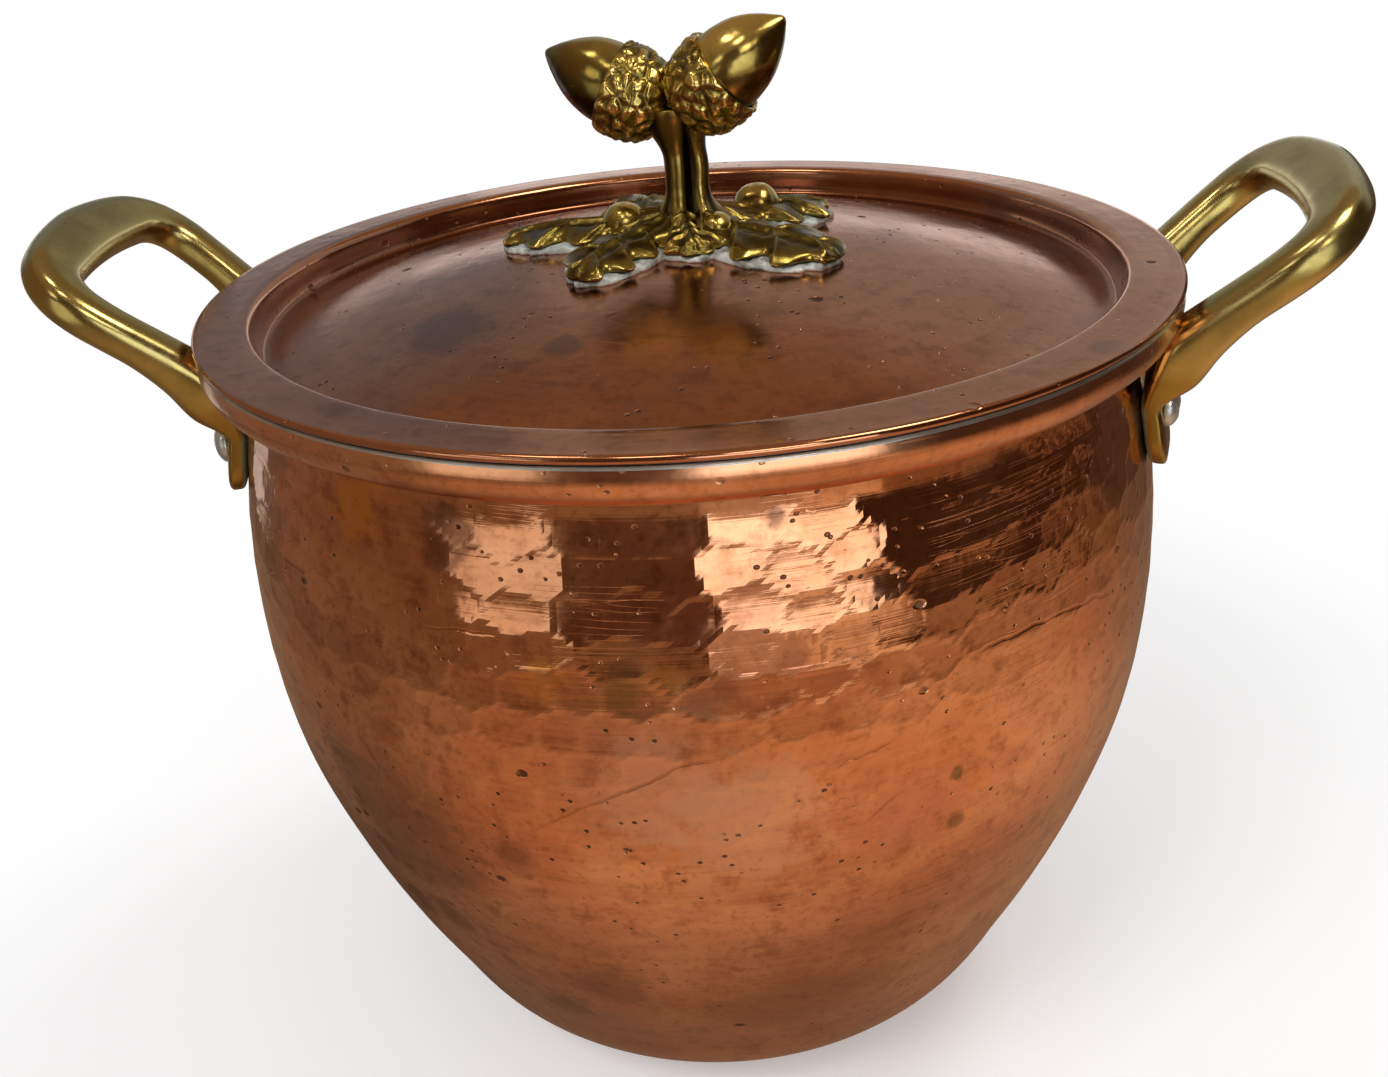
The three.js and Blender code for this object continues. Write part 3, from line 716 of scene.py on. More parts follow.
    def scratches(self, g: Graph, place: Wire) -> Source:
        """The scars, each near the plane of its two ends and the outward way.

        Args:
            g: The material's graph.
            place: Where the point lies.

        Returns:
            A wire that is 1 in a scar, or 0.0 where there are none.
        """
        total = 0.0
        sway = (g.noise(place, 70, 3) - 0.5) * 0.004
        for scar in self.scars:
            start, end = (Vector(point) * MM for point in (scar.start, scar.end))
            along, outward = (end - start).normalized(), (start + end).normalized()
            beside = g.dot(place, along.cross(outward).normalized(), start) + sway
            run, length = g.dot(place, along, start), (end - start).length
            inside = run.span(0, 0.008) * run.span(length, length - 0.008)
            front = g.dot(place, outward, Vector((0, 0, 0))).span(0, 0.01)
            total = g.math("MAXIMUM", total, beside.line(scar.width * MM) * (inside * front))
        return total


@dataclass(frozen=True)
class Tin:
    """The dull silver lining, with grey clouds and fine circular wiping marks."""

    clean: Triple = (0.62, 0.62, 0.6)
    stained: Triple = (0.26, 0.24, 0.21)

    def material(self) -> Metal:
        """The material, from noise in Object coordinates.

        Returns:
            The material.
        """
        g = new_graph("tin_lining")
        place = g.place()
        cloud = g.noise(place, 26, 5, 0.65)
        wipe = g.noise(g.stretched(place, (16, 16, 700)), 1, 2, 0.6)
        coats = (
            (cloud.span(0.45, 0.7, 0, 0.8), self.stained),
            (wipe.span(0.4, 0.65, 0, 0.2), self.stained),
        )
        height = wipe + g.noise(place, 240, 3)
        return g.finish(g.coated(self.clean, *coats), cloud.span(0.35, 0.7, 0.26, 0.5), height, 0.0001)


@dataclass(frozen=True)
class Brass:
    """Cast brass: a satin olive face, polished edges, casting pits and green at the wall."""

    body: Triple = (0.43, 0.34, 0.105)
    bright: Triple = (0.76, 0.64, 0.29)
    dull: Triple = (0.29, 0.23, 0.075)
    green: Triple = (0.2, 0.3, 0.22)
    pit: Triple = (0.06, 0.045, 0.02)
    shaded: Triple = (0.27, 0.14, 0.015)
    rough: tuple[float, float] = (0.2, 0.34)

    def material(self) -> Metal:
        """The material, from noise in Object coordinates and the marks wear, shade and crust.

        Returns:
            The material.
        """
        g = new_graph("cast_brass")
        place = g.place()
        cloud = g.noise(place, 55, 5, 0.6)
        fine = g.noise(place, 420, 4, 0.65)
        drawn = g.noise(g.stretched(place, (60, 700, 700), (0, 0.7, 0)), 1, 2, 0.6)
        worn = g.mark("wear") * cloud.span(0.3, 0.6, 0.5, 1.0)
        pit = g.cells(place, 330).span(0.24, 0.1) * g.noise(place, 120, 3).span(0.66, 0.7)
        crust = g.mark("crust")
        colour = g.coated(
            self.body,
            (cloud.span(0.38, 0.68), self.dull),
            (fine.span(0.45, 0.75, 0, 0.2), self.dull),
            (worn * 0.55, self.bright),
            (pit * 0.6, self.pit),
            (g.mark("shade") * 0.8, self.shaded),
            (crust * 0.85, self.green),
        )
        rough = (cloud + fine * 0.3).span(0.45, 0.85, *self.rough) + crust * 0.4 - worn * 0.08
        height = fine * 0.03 + drawn * 0.02 + g.noise(place, 90, 2) * 0.9 - pit * 0.8
        return g.finish(colour, rough, height, 0.00014, 1.0 - crust * 0.6)


@dataclass(frozen=True)
class OldBrass:
    """Dark antique brass, golden where a hand rubs it, from a mark of how high a point lies; on the nuts the
    mark is a painted highlight on the upper side.
    """

    high: Triple = (0.8, 0.6, 0.19)
    body: Triple = (0.25, 0.185, 0.045)
    deep: Triple = (0.045, 0.034, 0.012)
    rust: Triple = (0.26, 0.1, 0.03)
    gloss: float = 0.19
    matt: float = 0.36

    def material(self) -> Metal:
        """The material, from noise in Object coordinates and the marks relief and polish.

        Returns:
            The material.
        """
        g = new_graph("old_brass")
        place = g.place()
        fine = g.noise(place, 620, 4, 0.65)
        relief = g.mark("relief") + (g.noise(place, 90, 5, 0.62) - 0.5) * 0.35
        colour = g.coated(
            self.deep,
            (relief.span(0.12, 0.5), self.body),
            (relief.span(0.55, 1.05), self.high),
            (fine.span(0.5, 0.75, 0, 0.22), self.deep),
            (g.noise(place, 48, 3).span(0.56, 0.72, 0, 0.35), self.rust),
        )
        rough = g.mark("polish").span(0, 1, self.matt, self.gloss) + fine.span(0.4, 0.8, 0, 0.05)
        return g.finish(colour, rough, fine * 0.15 + g.noise(place, 150, 2), 0.00018)


@dataclass(frozen=True)
class Grey:
    """A pale grey metal or solder, cloudy and lightly pitted.

    Attributes:
        name: The material's name.
        pale: The lighter colour.
        dim: The darker colour.
        tint: A colour in thin streaks.
        gloss: The lowest roughness.
        matt: The highest roughness.
        metal: How metallic it is.
    """

    name: str
    pale: Triple
    dim: Triple
    tint: Triple
    gloss: float
    matt: float
    metal: float

    def material(self) -> Metal:
        """The material, from noise in Object coordinates.

        Returns:
            The material.
        """
        g = new_graph(self.name)
        place = g.place()
        cloud = g.noise(place, 150, 5, 0.65)
        fine = g.noise(place, 700, 4, 0.6)
        colour = g.coated(
            self.pale,
            (cloud.span(0.4, 0.66), self.dim),
            (g.noise(place, 95, 4).span(0.52, 0.68, 0, 0.7), self.tint),
            (fine.span(0.5, 0.75, 0, 0.4), self.dim),
        )
        rough = cloud.span(0.35, 0.7, self.gloss, self.matt)
        return g.finish(colour, rough, fine * 0.4 + cloud, 0.0002, self.metal)


# Pot


@dataclass(frozen=True)
class PotShape:
    """The sizes of the pot's wall and rim band, shared by the pieces that touch it."""

    rim_radius: float = 125.0
    band_overhang: float = 9.4
    belly_radius: float = 124.4
    shoulder: float = 200.8
    band_height: float = 10.1
    thickness: float = 1.5
    wall_shares: Pairs = (
        (0.5, 0), (0.6, 0), (0.637, 0.006), (0.67, 0.03), (0.738, 0.08), (0.796, 0.16), (0.863, 0.26),
        (0.929, 0.38), (0.983, 0.52), (1, 0.66), (0.985, 0.8), (0.952, 0.91), (0.932, 0.975),
    )
    band_shares: Pairs = (
        (0, 0), (0.34, 0.0), (0.62, 0.09), (0.84, 0.26), (0.965, 0.48), (1, 0.68), (0.965, 0.93),
    )

    @property
    def neck(self) -> tuple[float, float]:
        """The radius and height of the wall where the band begins."""
        return self.rim_radius - self.band_overhang, self.shoulder

    @property
    def rim_height(self) -> float:
        """The height of the top of the band."""
        return self.shoulder + self.band_height

    def wall(self) -> Array:
        """The outside of the wall from the flat base to the neck, as radius and height."""
        return np.vstack([np.array(self.wall_shares) * (self.belly_radius, self.shoulder), [self.neck]])

    def band(self) -> Array:
        """The outside of the rim band from the neck to its top edge, as radius and height."""
        return np.array(self.band_shares) * (self.band_overhang, self.band_height) + self.neck

    def outside(self, height: Values) -> Array:
        """The radius of the pot's outside at each height.

        Args:
            height: The heights.

        Returns:
            The radii.
        """
        line = chained(smooth_path(self.wall()[1:], spacing=1), smooth_path(self.band(), spacing=0.5))
        rising = np.maximum.accumulate(line[:, 1] + np.arange(len(line)) * 1e-6)
        return np.interp(height, rising, line[:, 0])


@dataclass
class Pot:
    """The hammered copper pot: a closed shell with a tinned inside.

    Attributes:
        shape: The pot's sizes.
        sides: How many columns go round it.
        facet: The width, height and depth of a hammer mark.
        facet_jitter: How far a mark strays from its place, in marks.
        facet_seed: The number that fixes where they stray.
        belt_start: The height above which the hammer marks need close rows.
        outer_rows: How far apart the rows of the outside are, on the wall and on the band.
        inner_rows: The same for the inside.
        sway: How the belly is out of true.
    """

    shape: PotShape
    sides: int = 480
    facet: Triple = (12.8, 8.6, 0.155)
    facet_jitter: float = 0.26
    facet_seed: int = 11
    belt_start: float = 95.0
    outer_rows: tuple[float, float] = (1.3, 0.55)
    inner_rows: tuple[float, float] = (9.5, 1.4)
    sway: Lumps = Lumps(0.18, 42, 3)

    def hammered(self, angle: Array, height: Array) -> tuple[Array, Array]:
        """The hammer marks: a depth times one less the squared distance to the nearest, in cells.

        The marks fade out towards the belly's lower half and end at the neck.

        Args:
            angle: The direction of each point.
            height: The height of each point.

        Returns:
            How far the wall is pushed in, and how near a crease between two marks lies.
        """
        width, tall, depth = self.facet
        columns = int(round(FULL_TURN * self.shape.belly_radius / width))
        u, v = angle / FULL_TURN * columns, height / tall
        near, second = nearest_sites(u, v, columns, self.facet_jitter, self.facet_seed)
        below_neck = smoothstep(-height, -200, -192)
        strong = smoothstep(height, self.belt_start, 150) * below_neck
        faint = 0.12 * smoothstep(height, 10, 40) * below_neck
        crease = np.exp(-(((np.sqrt(second) - np.sqrt(near)) / 0.13) ** 2)) * strong
        return depth * np.clip(1 - near / 0.45, -0.35, 1) * (strong + faint), crease

    def profile(self) -> tuple[Array, Array]:
        """The shell's outline from under the base, up the outside and down the inside.

        Returns:
            The outline as radius and height, and a column with the skin number of each point.
        """
        shape = self.shape
        half = shape.thickness / 2
        wall = smooth_path(shape.wall(), spacing=self.outer_rows[0])
        upper = wall[:, 1] > self.belt_start
        outside = chained(
            np.array([(6, 0), (30, 0), (54, 0)], float),
            np.vstack([wall[~upper][::2], wall[upper]]),
            smooth_path(shape.band(), spacing=self.outer_rows[1])[:-2],
        )
        swing = np.linspace(0.1, math.pi + 0.2, 9)
        edge_radius = shape.rim_radius - 0.4 - half * (1 - np.cos(swing))
        edge = np.stack([edge_radius, shape.rim_height - half + half * np.sin(swing)], axis=1)
        lines = zip((shape.wall(), shape.band()), self.inner_rows)
        line = chained(*(smooth_path(knots, spacing=spacing) for knots, spacing in lines))
        inside = offset_profile(line, shape.thickness)[:-1][::-1]
        inside = inside[inside[:, 0] < shape.rim_radius - shape.thickness + 0.2]
        floor = np.array([(40, shape.thickness), (14, shape.thickness)], float)
        whole = np.vstack([outside, edge, inside, floor])
        return whole, (np.arange(len(whole)) >= len(outside)).astype(float)[:, None]

    def build(self, copper: Metal, tin: Metal) -> None:
        """Make the pot: its outline spun about Z and pushed in by the hammer marks.

        Args:
            copper: The metal outside.
            tin: The metal inside.
        """
        outline, skin = self.profile()
        radius = outline[:, :1]
        turn, height = np.meshgrid(turns(self.sides) + math.pi / 2, outline[:, 1])
        dent, crease = self.hammered(turn, height)
        # The sway is read on a cylinder, so that it is the same inside and outside.
        sway = self.sway.at(polar(120, turn, height))
        reach = smoothstep(radius, 70, 95) * smoothstep(-height, -199, -185)
        radius = radius - dent * smoothstep(radius, 60, 90) + sway * reach
        outer = 1 - skin
        # Painted shade: a dark line round the neck, in the corner under the band's overhang.
        painted_shade = 0.6 * np.exp(-(((height - self.shape.shoulder) / 1.2) ** 2)) * outer
        marks = {"wear": edge_wear(outline), "crease": crease * outer, "painted_shade": painted_shade, "skin": skin}
        ends = (np.array([0, 0, outline[end, 1]]) for end in (0, -1))
        whole = grid_surface(polar(radius, turn, height), marks, *ends)
        dress("copper_pot", whole, Body.POT, "copper_body", "pot_body", copper, tin)


# Handles and rivets


@dataclass
class Handle:
    """One cast loop handle with its two pads, cast in one and seated on the wall.

    Attributes:
        side: The side that it is on.
        shape: The pot that it sits on.
        rivet_height: The height of its rivets; hand-set ones differ a little from side to side.
        lean: How far it sits from the pot's widest line.
        bedding: How far its pads sink into the wall.
        slope: How steeply its loop rises.
        softening: Over how many rings its path is softened.
        uneven: The unevenness of its face, in shares of its depth.
        crust_edge: The unevenness of the edge of the green crust.
        plan: Knots from above the pad over the leg and the corner to the middle of the bar, in the
            loop's sloping plane: how far out and across the outer side lies, the same for the inner
            side, how far both stand off the plane, half the depth, and the squareness.
    """

    side: Side
    shape: PotShape
    rivet_height: float
    lean: float = math.radians(5.6)
    bedding: float = 0.1
    pad_face: float = 124.2
    pad_across: float = 26.25
    pad_width: float = 17.0
    pad_corner: float = 7.0
    pad_foot: float = 169.0
    pad_thickness: float = 5.1
    slope: float = math.radians(42.7)
    rings: int = 300
    ring_sides: int = 80
    softening: int = 7
    uneven: Lumps = Lumps(0.02, 9, 17, 400)
    crust_edge: Lumps = Lumps(0.35, 2.2, 18, 500)
    plan: tuple[tuple[float, ...], ...] = (
        (-15.9, 35.8, -15.9, 20.3, -2.9, 7.0, 3.4), (-7.0, 37.0, -7.0, 25.0, -0.9, 6.0, 2.7),
        (2.0, 38.8, 2.6, 27.6, 0, 5.3, 2.4), (10.0, 40.4, 10.0, 29.2, 0, 5.2, 2.4),
        (17.5, 41.2, 15.0, 29.7, 0, 5.2, 2.5), (24.5, 40.2, 18.6, 29.1, 0, 5.1, 2.6),
        (30.2, 36.6, 21.2, 27.1, 0, 5.0, 2.7), (34.6, 30.4, 22.7, 23.6, 0, 4.9, 2.8),
        (37.0, 23.0, 23.4, 19.0, 0, 4.8, 2.9), (38.8, 12.0, 24.2, 10.0, 0, 4.8, 2.9),
        (39.7, 0, 24.5, 0, 0, 4.8, 2.9),
    )

    @property
    def angle(self) -> float:
        """The handle's direction about the axis."""
        return -self.lean if self.side is Side.RIGHT else math.pi + self.lean

    @property
    def pad_angle(self) -> float:
        """The angle between the middle of the handle and a pad."""
        return math.asin(self.pad_across / self.pad_face)

    def pad_knots(self) -> Array:
        """Knots up one pad, which follows the wall and is rounded at its foot.

        Returns:
            A row for each: outer and inner side, half the depth as a vector, and squareness.
        """
        rise = np.array([0, 0.35, 1.2, 2.6, 4.6, 7.0, 10.0, 13.0, 16.0])
        deep = self.pad_thickness / 2 * np.array([0.3, 0.5, 0.72, 0.88, 0.97, 1, 1, 1, 1])
        height = self.pad_foot + rise
        corner = np.clip(self.pad_corner - rise, 0, self.pad_corner)
        half = self.pad_width / 2 - self.pad_corner + np.sqrt(self.pad_corner**2 - corner**2)
        radius = self.shape.outside(height) + self.pad_thickness / 2 - self.bedding
        way = np.array([math.cos(self.pad_angle), math.sin(self.pad_angle), 0])
        along = half[:, None] * (-way[1], way[0], 0)
        middle = radius[:, None] * way + height[:, None] * (0, 0, 1)
        square = np.linspace(5, 4.4, len(rise))
        return np.hstack([middle + along, middle - along, -deep[:, None] * way, square[:, None]])

    def loop_knots(self) -> Array:
        """The knots of the plan in space.

        Returns:
            Rows like those of a pad.
        """
        plan = np.array(self.plan)
        out = np.array([math.cos(self.slope), 0, math.sin(self.slope)])
        off = np.array([-math.sin(self.slope), 0, math.cos(self.slope)])
        start = np.array([self.shape.rim_radius + 6, 0, self.shape.rim_height - 2.1])
        lift = start + plan[:, 4:5] * off
        outer, inner = (lift + plan[:, k : k + 1] * out + plan[:, k + 1 : k + 2] * (0, 1, 0) for k in (0, 2))
        return np.hstack([outer, inner, plan[:, 5:6] * off, plan[:, 6:]])

    def seated(self, grid: Array) -> Array:
        """The points, each pushed out to the pot's wall or band if it lies inside.

        Args:
            grid: The points.

        Returns:
            The moved points.
        """
        radius = np.hypot(grid[..., 0], grid[..., 1])
        least = self.shape.outside(grid[..., 2]) - 0.15
        grow = np.maximum(radius, least) / np.maximum(radius, 1e-6)
        return points_at(grid[..., 0] * grow, grid[..., 1] * grow, grid[..., 2])

    def rivets(self, metal: Metal) -> None:
        """Make the rivet through each pad.

        Args:
            metal: Their metal.
        """
        face = float(self.shape.outside(self.rivet_height)) + self.pad_thickness - self.bedding
        swing = self.pad_angle if self.side is Side.LEFT else -self.pad_angle
        for place, angle in (("front", self.angle + swing), ("back", self.angle - swing)):
            node = f"rivet_{self.side.value}_{place}"
            Rivet(node, angle, self.shape, face, self.rivet_height).build(metal)

    def build(self, brass: Metal, silver: Metal) -> None:
        """Make the handle and its rivets.

        Sections are drawn between its outer and inner outline, foot to foot. Each is a superellipse
        |x/w|^n + |y/d|^n = 1, with a soft noise on its face. The marks tell how close a point lies to
        the wall, and how near an edge.

        Args:
            brass: The handle's metal.
            silver: The rivets' metal.
        """
        half = np.vstack([self.pad_knots(), self.loop_knots()])
        mirror = half * (1, -1, 1, 1, -1, 1, 1, -1, 1, 1)
        line = smooth_path(np.vstack([mirror, half[:-1][::-1]]), count=self.rings)
        end = self.softening // 2
        line[end:-end] = np.stack([softened(column, self.softening) for column in line.T], axis=1)
        centre = (line[:, :3] + line[:, 3:6]) / 2
        across = (line[:, 3:6] - line[:, :3]) / 2
        depth = line[:, None, 6:9]
        turn = turns(self.ring_sides)[None, :]
        power = 2 / line[:, 9:]
        x, y = (np.sign(wave) * np.abs(wave) ** power for wave in (np.cos(turn), np.sin(turn)))
        grid = centre[:, None] + across[:, None] * x[..., None] + depth * y[..., None]
        grid = self.seated(grid + self.uneven.at(grid)[..., None] * depth)
        height = grid[..., 2]
        gap = np.hypot(grid[..., 0], grid[..., 1]) - self.shape.outside(height)
        gap = gap + self.crust_edge.at(grid)
        marks = {
            "crust": smoothstep(-gap, -1.9, -0.8) * smoothstep(-height, -204, -199),
            "shade": (0.75 + 0.25 * smoothstep(-gap, -4, -1)) * smoothstep(-height, -197, -191),
            "wear": np.abs(np.sin(2 * turn)) ** 3,
        }
        whole = grid_surface(grid, marks).turned(self.angle)
        node = f"handle_{self.side.value}"
        dress(f"brass_{node}", whole, Body.POT, "cast_brass", node, brass)
        self.rivets(silver)


@dataclass
class Rivet:
    """One rivet: a domed head on the pad, with a low peened tail inside the pot.

    Attributes:
        node: The CAD node that it stands for.
        angle: Its direction about the axis.
        shape: The pot that it goes through.
        pad_face: The radius of the pad's face.
        height: The height of its axis.
    """

    node: str
    angle: float
    shape: PotShape
    pad_face: float
    height: float
    head_radius: float = 5.0
    head_height: float = 3.3
    tail_radius: float = 4.4
    tail_height: float = 1.8
    shank_radius: float = 2.5
    sides: int = 48
    dents: Lumps = Lumps(0.12, 2.2, 5)

    def profile(self) -> Array:
        """The outline from the tail's middle to the head's top, with arcs a little squared.

        Returns:
            Radius and distance out, one row each.
        """
        wall = float(self.shape.outside(self.height)) - self.shape.thickness
        face = self.pad_face
        t = np.linspace(0, 1, 14)[1:] * math.pi / 2
        tail_out = wall + 0.3 - (self.tail_height + 0.3) * np.cos(t) ** 0.7
        tail = np.stack([self.tail_radius * np.sin(t) ** 0.8, tail_out], axis=1)
        middle = np.array(
            [
                (self.shank_radius, wall + 0.5), (self.shank_radius, face - 0.6),
                (self.head_radius - 0.5, face - 0.35), (self.head_radius, face - 0.05),
            ]
        )
        t = np.linspace(0, 1, 18)[:-1] * math.pi / 2
        head_out = face + 0.5 + (self.head_height - 0.5) * np.sin(t) ** 0.95
        head = np.stack([self.head_radius * np.cos(t) ** 0.75, head_out], axis=1)
        return np.vstack([tail, middle, head])

    def build(self, metal: Metal) -> None:
        """Make the rivet, spun about its own axis, slightly out of round and dented.

        Args:
            metal: Its metal.
        """
        outline = self.profile()
        turn = turns(self.sides)[None, :]
        radius = outline[:, :1] * (1 + 0.02 * np.cos(2 * turn + self.angle) + 0.012 * np.cos(5 * turn + 1))
        y, z = radius * np.cos(turn), self.height + radius * np.sin(turn)
        dent = self.dents.at(points_at(y, z, self.angle))
        relief = np.linspace(0.4, 1, len(outline))[:, None]
        whole = grid_surface(points_at(outline[:, 1:] + dent, y, z), {"relief": relief})
        dress(f"silver_{self.node}", whole.turned(self.angle), Body.POT, "rivet_metal", self.node, metal)


# Lid


@dataclass
class Lid:
    """The spun copper lid: broad dome, valley ring, recess wall and flat flange.

    Attributes:
        rim_radius: The radius of the flange's edge.
        flange_underside: The height of the flange's underside.
        flange_top: The height of the flange's top.
        valley_radius: Where the dome meets the recess wall.
        valley_height: The height of that ring.
        dome_rise: How far the dome rises above it.
        thickness: The sheet's thickness.
    """

    rim_radius: float = 125.0
    flange_underside: float = 211.2
    flange_top: float = 213.2
    valley_radius: float = 107.0
    valley_height: float = 204.8
    dome_rise: float = 14.6
    thickness: float = 1.5
    sides: int = 400
    sway: Lumps = Lumps(0.16, 37, 21, 500)
    ripple: Lumps = Lumps(0.035, 9, 22, 500)

    def dome_top(self, radius: Values) -> Values:
        """The height of the dome: valley height + rise * (1 - (radius / valley radius)^2)."""
        return self.valley_height + self.dome_rise * (1 - (radius / self.valley_radius) ** 2)

    def outline(self) -> tuple[Array, Array]:
        """The section from the top of the dome, out to the lip and back under.

        Returns:
            The section as radius and height, and a column with the skin number of each point.
        """
        radii = np.concatenate([np.linspace(2, 98, 34), np.linspace(99.5, 104.5, 5)])
        dome = np.stack([radii, self.dome_top(radii)], axis=1)
        low, top = self.valley_height, self.flange_top
        knots = [
            dome[-2], dome[-1], (106.6, low + 0.15), (108.4, low + 0.05), (109.7, low + 0.6),
            (110.35, low + 2.2), (110.8, top - 3), (111.25, top - 1.1), (112.1, top - 0.15),
            (113.6, top + 0.08), (116, top + 0.06),
        ]
        turn = smooth_path(np.array(knots), spacing=0.42)
        turn = turn[turn[:, 0] > dome[-1, 0] + 0.1]
        flat = np.stack([np.linspace(117.5, 123.4, 5), np.linspace(top + 0.04, top - 0.12, 5)], axis=1)
        swing = np.linspace(math.pi / 2 - 0.2, -math.pi / 2, 9)
        half = (self.flange_top - self.flange_underside) / 2 - 0.05
        middle = np.array([self.rim_radius - half, self.flange_underside + half])
        lip = middle + half * np.stack([np.cos(swing), np.sin(swing)], axis=1)
        under_flange = np.array([(119.0, self.flange_underside), (114.4, self.flange_underside)])
        under_turn = offset_profile(turn, -self.thickness)[::-1][::2]
        under_turn = under_turn[under_turn[:, 1] < self.flange_underside - 0.1]
        under_dome = (dome[::-1] - (0, self.thickness))[::2]
        upper = np.vstack([dome, turn, flat, lip[:-2]])
        whole = np.vstack([upper, lip[-2:], under_flange, under_turn, under_dome])
        return whole, (np.arange(len(whole)) >= len(upper)).astype(float)[:, None]

    def build(self, copper: Metal, tin: Metal) -> None:
        """Make the lid: the section spun about Z, a little uneven by hand.

        Args:
            copper: The metal above.
            tin: The metal below.
        """
        outline, skin = self.outline()
        turn, radius = np.meshgrid(turns(self.sides) + math.pi / 2, outline[:, 0])
        spot = polar(radius, turn, 0.0)
        sway = self.sway.at(spot) + self.ripple.at(spot)
        sway *= smoothstep(radius, 6, 30) * smoothstep(-radius, -123, -100)
        height = outline[:, 1:] + sway
        # Painted shade in the valley ring and up the recess wall, below the flange.
        painted_shade = smoothstep(radius, 103, 108.5) * smoothstep(-height, -212.9, -211)
        marks = {"wear": edge_wear(outline[::-1])[::-1], "painted_shade": painted_shade, "skin": skin}
        first = np.array([0, 0, self.dome_top(0.0)])
        last = first - (0, 0, self.thickness)
        whole = grid_surface(polar(radius, turn, height), marks, first, last)
        dress("copper_lid", whole, Body.LID, "copper_lid", "lid", copper, tin)


# Finial


@dataclass(frozen=True)
class LeafShape:
    """One oak leaf: its name, direction in degrees, length, half width and sideways bend."""

    name: str
    angle: float
    length: float
    half_width: float
    bend: float


@dataclass(frozen=True)
class Berry:
    """One berry: its name, direction in degrees, distance from the axis and radius."""

    name: str
    angle: float
    reach: float
    radius: float


@dataclass(frozen=True)
class Acorn:
    """One acorn: its name, its side (-1 or 1), its direction and its rise in degrees."""

    name: str
    side: int
    angle: float
    rise: float

    @property
    def aim(self) -> Array:
        """The unit direction to its tip."""
        lift, turn = math.radians(self.rise), math.radians(self.angle)
        return np.array([math.cos(lift) * math.cos(turn), math.cos(lift) * math.sin(turn), math.sin(lift)])


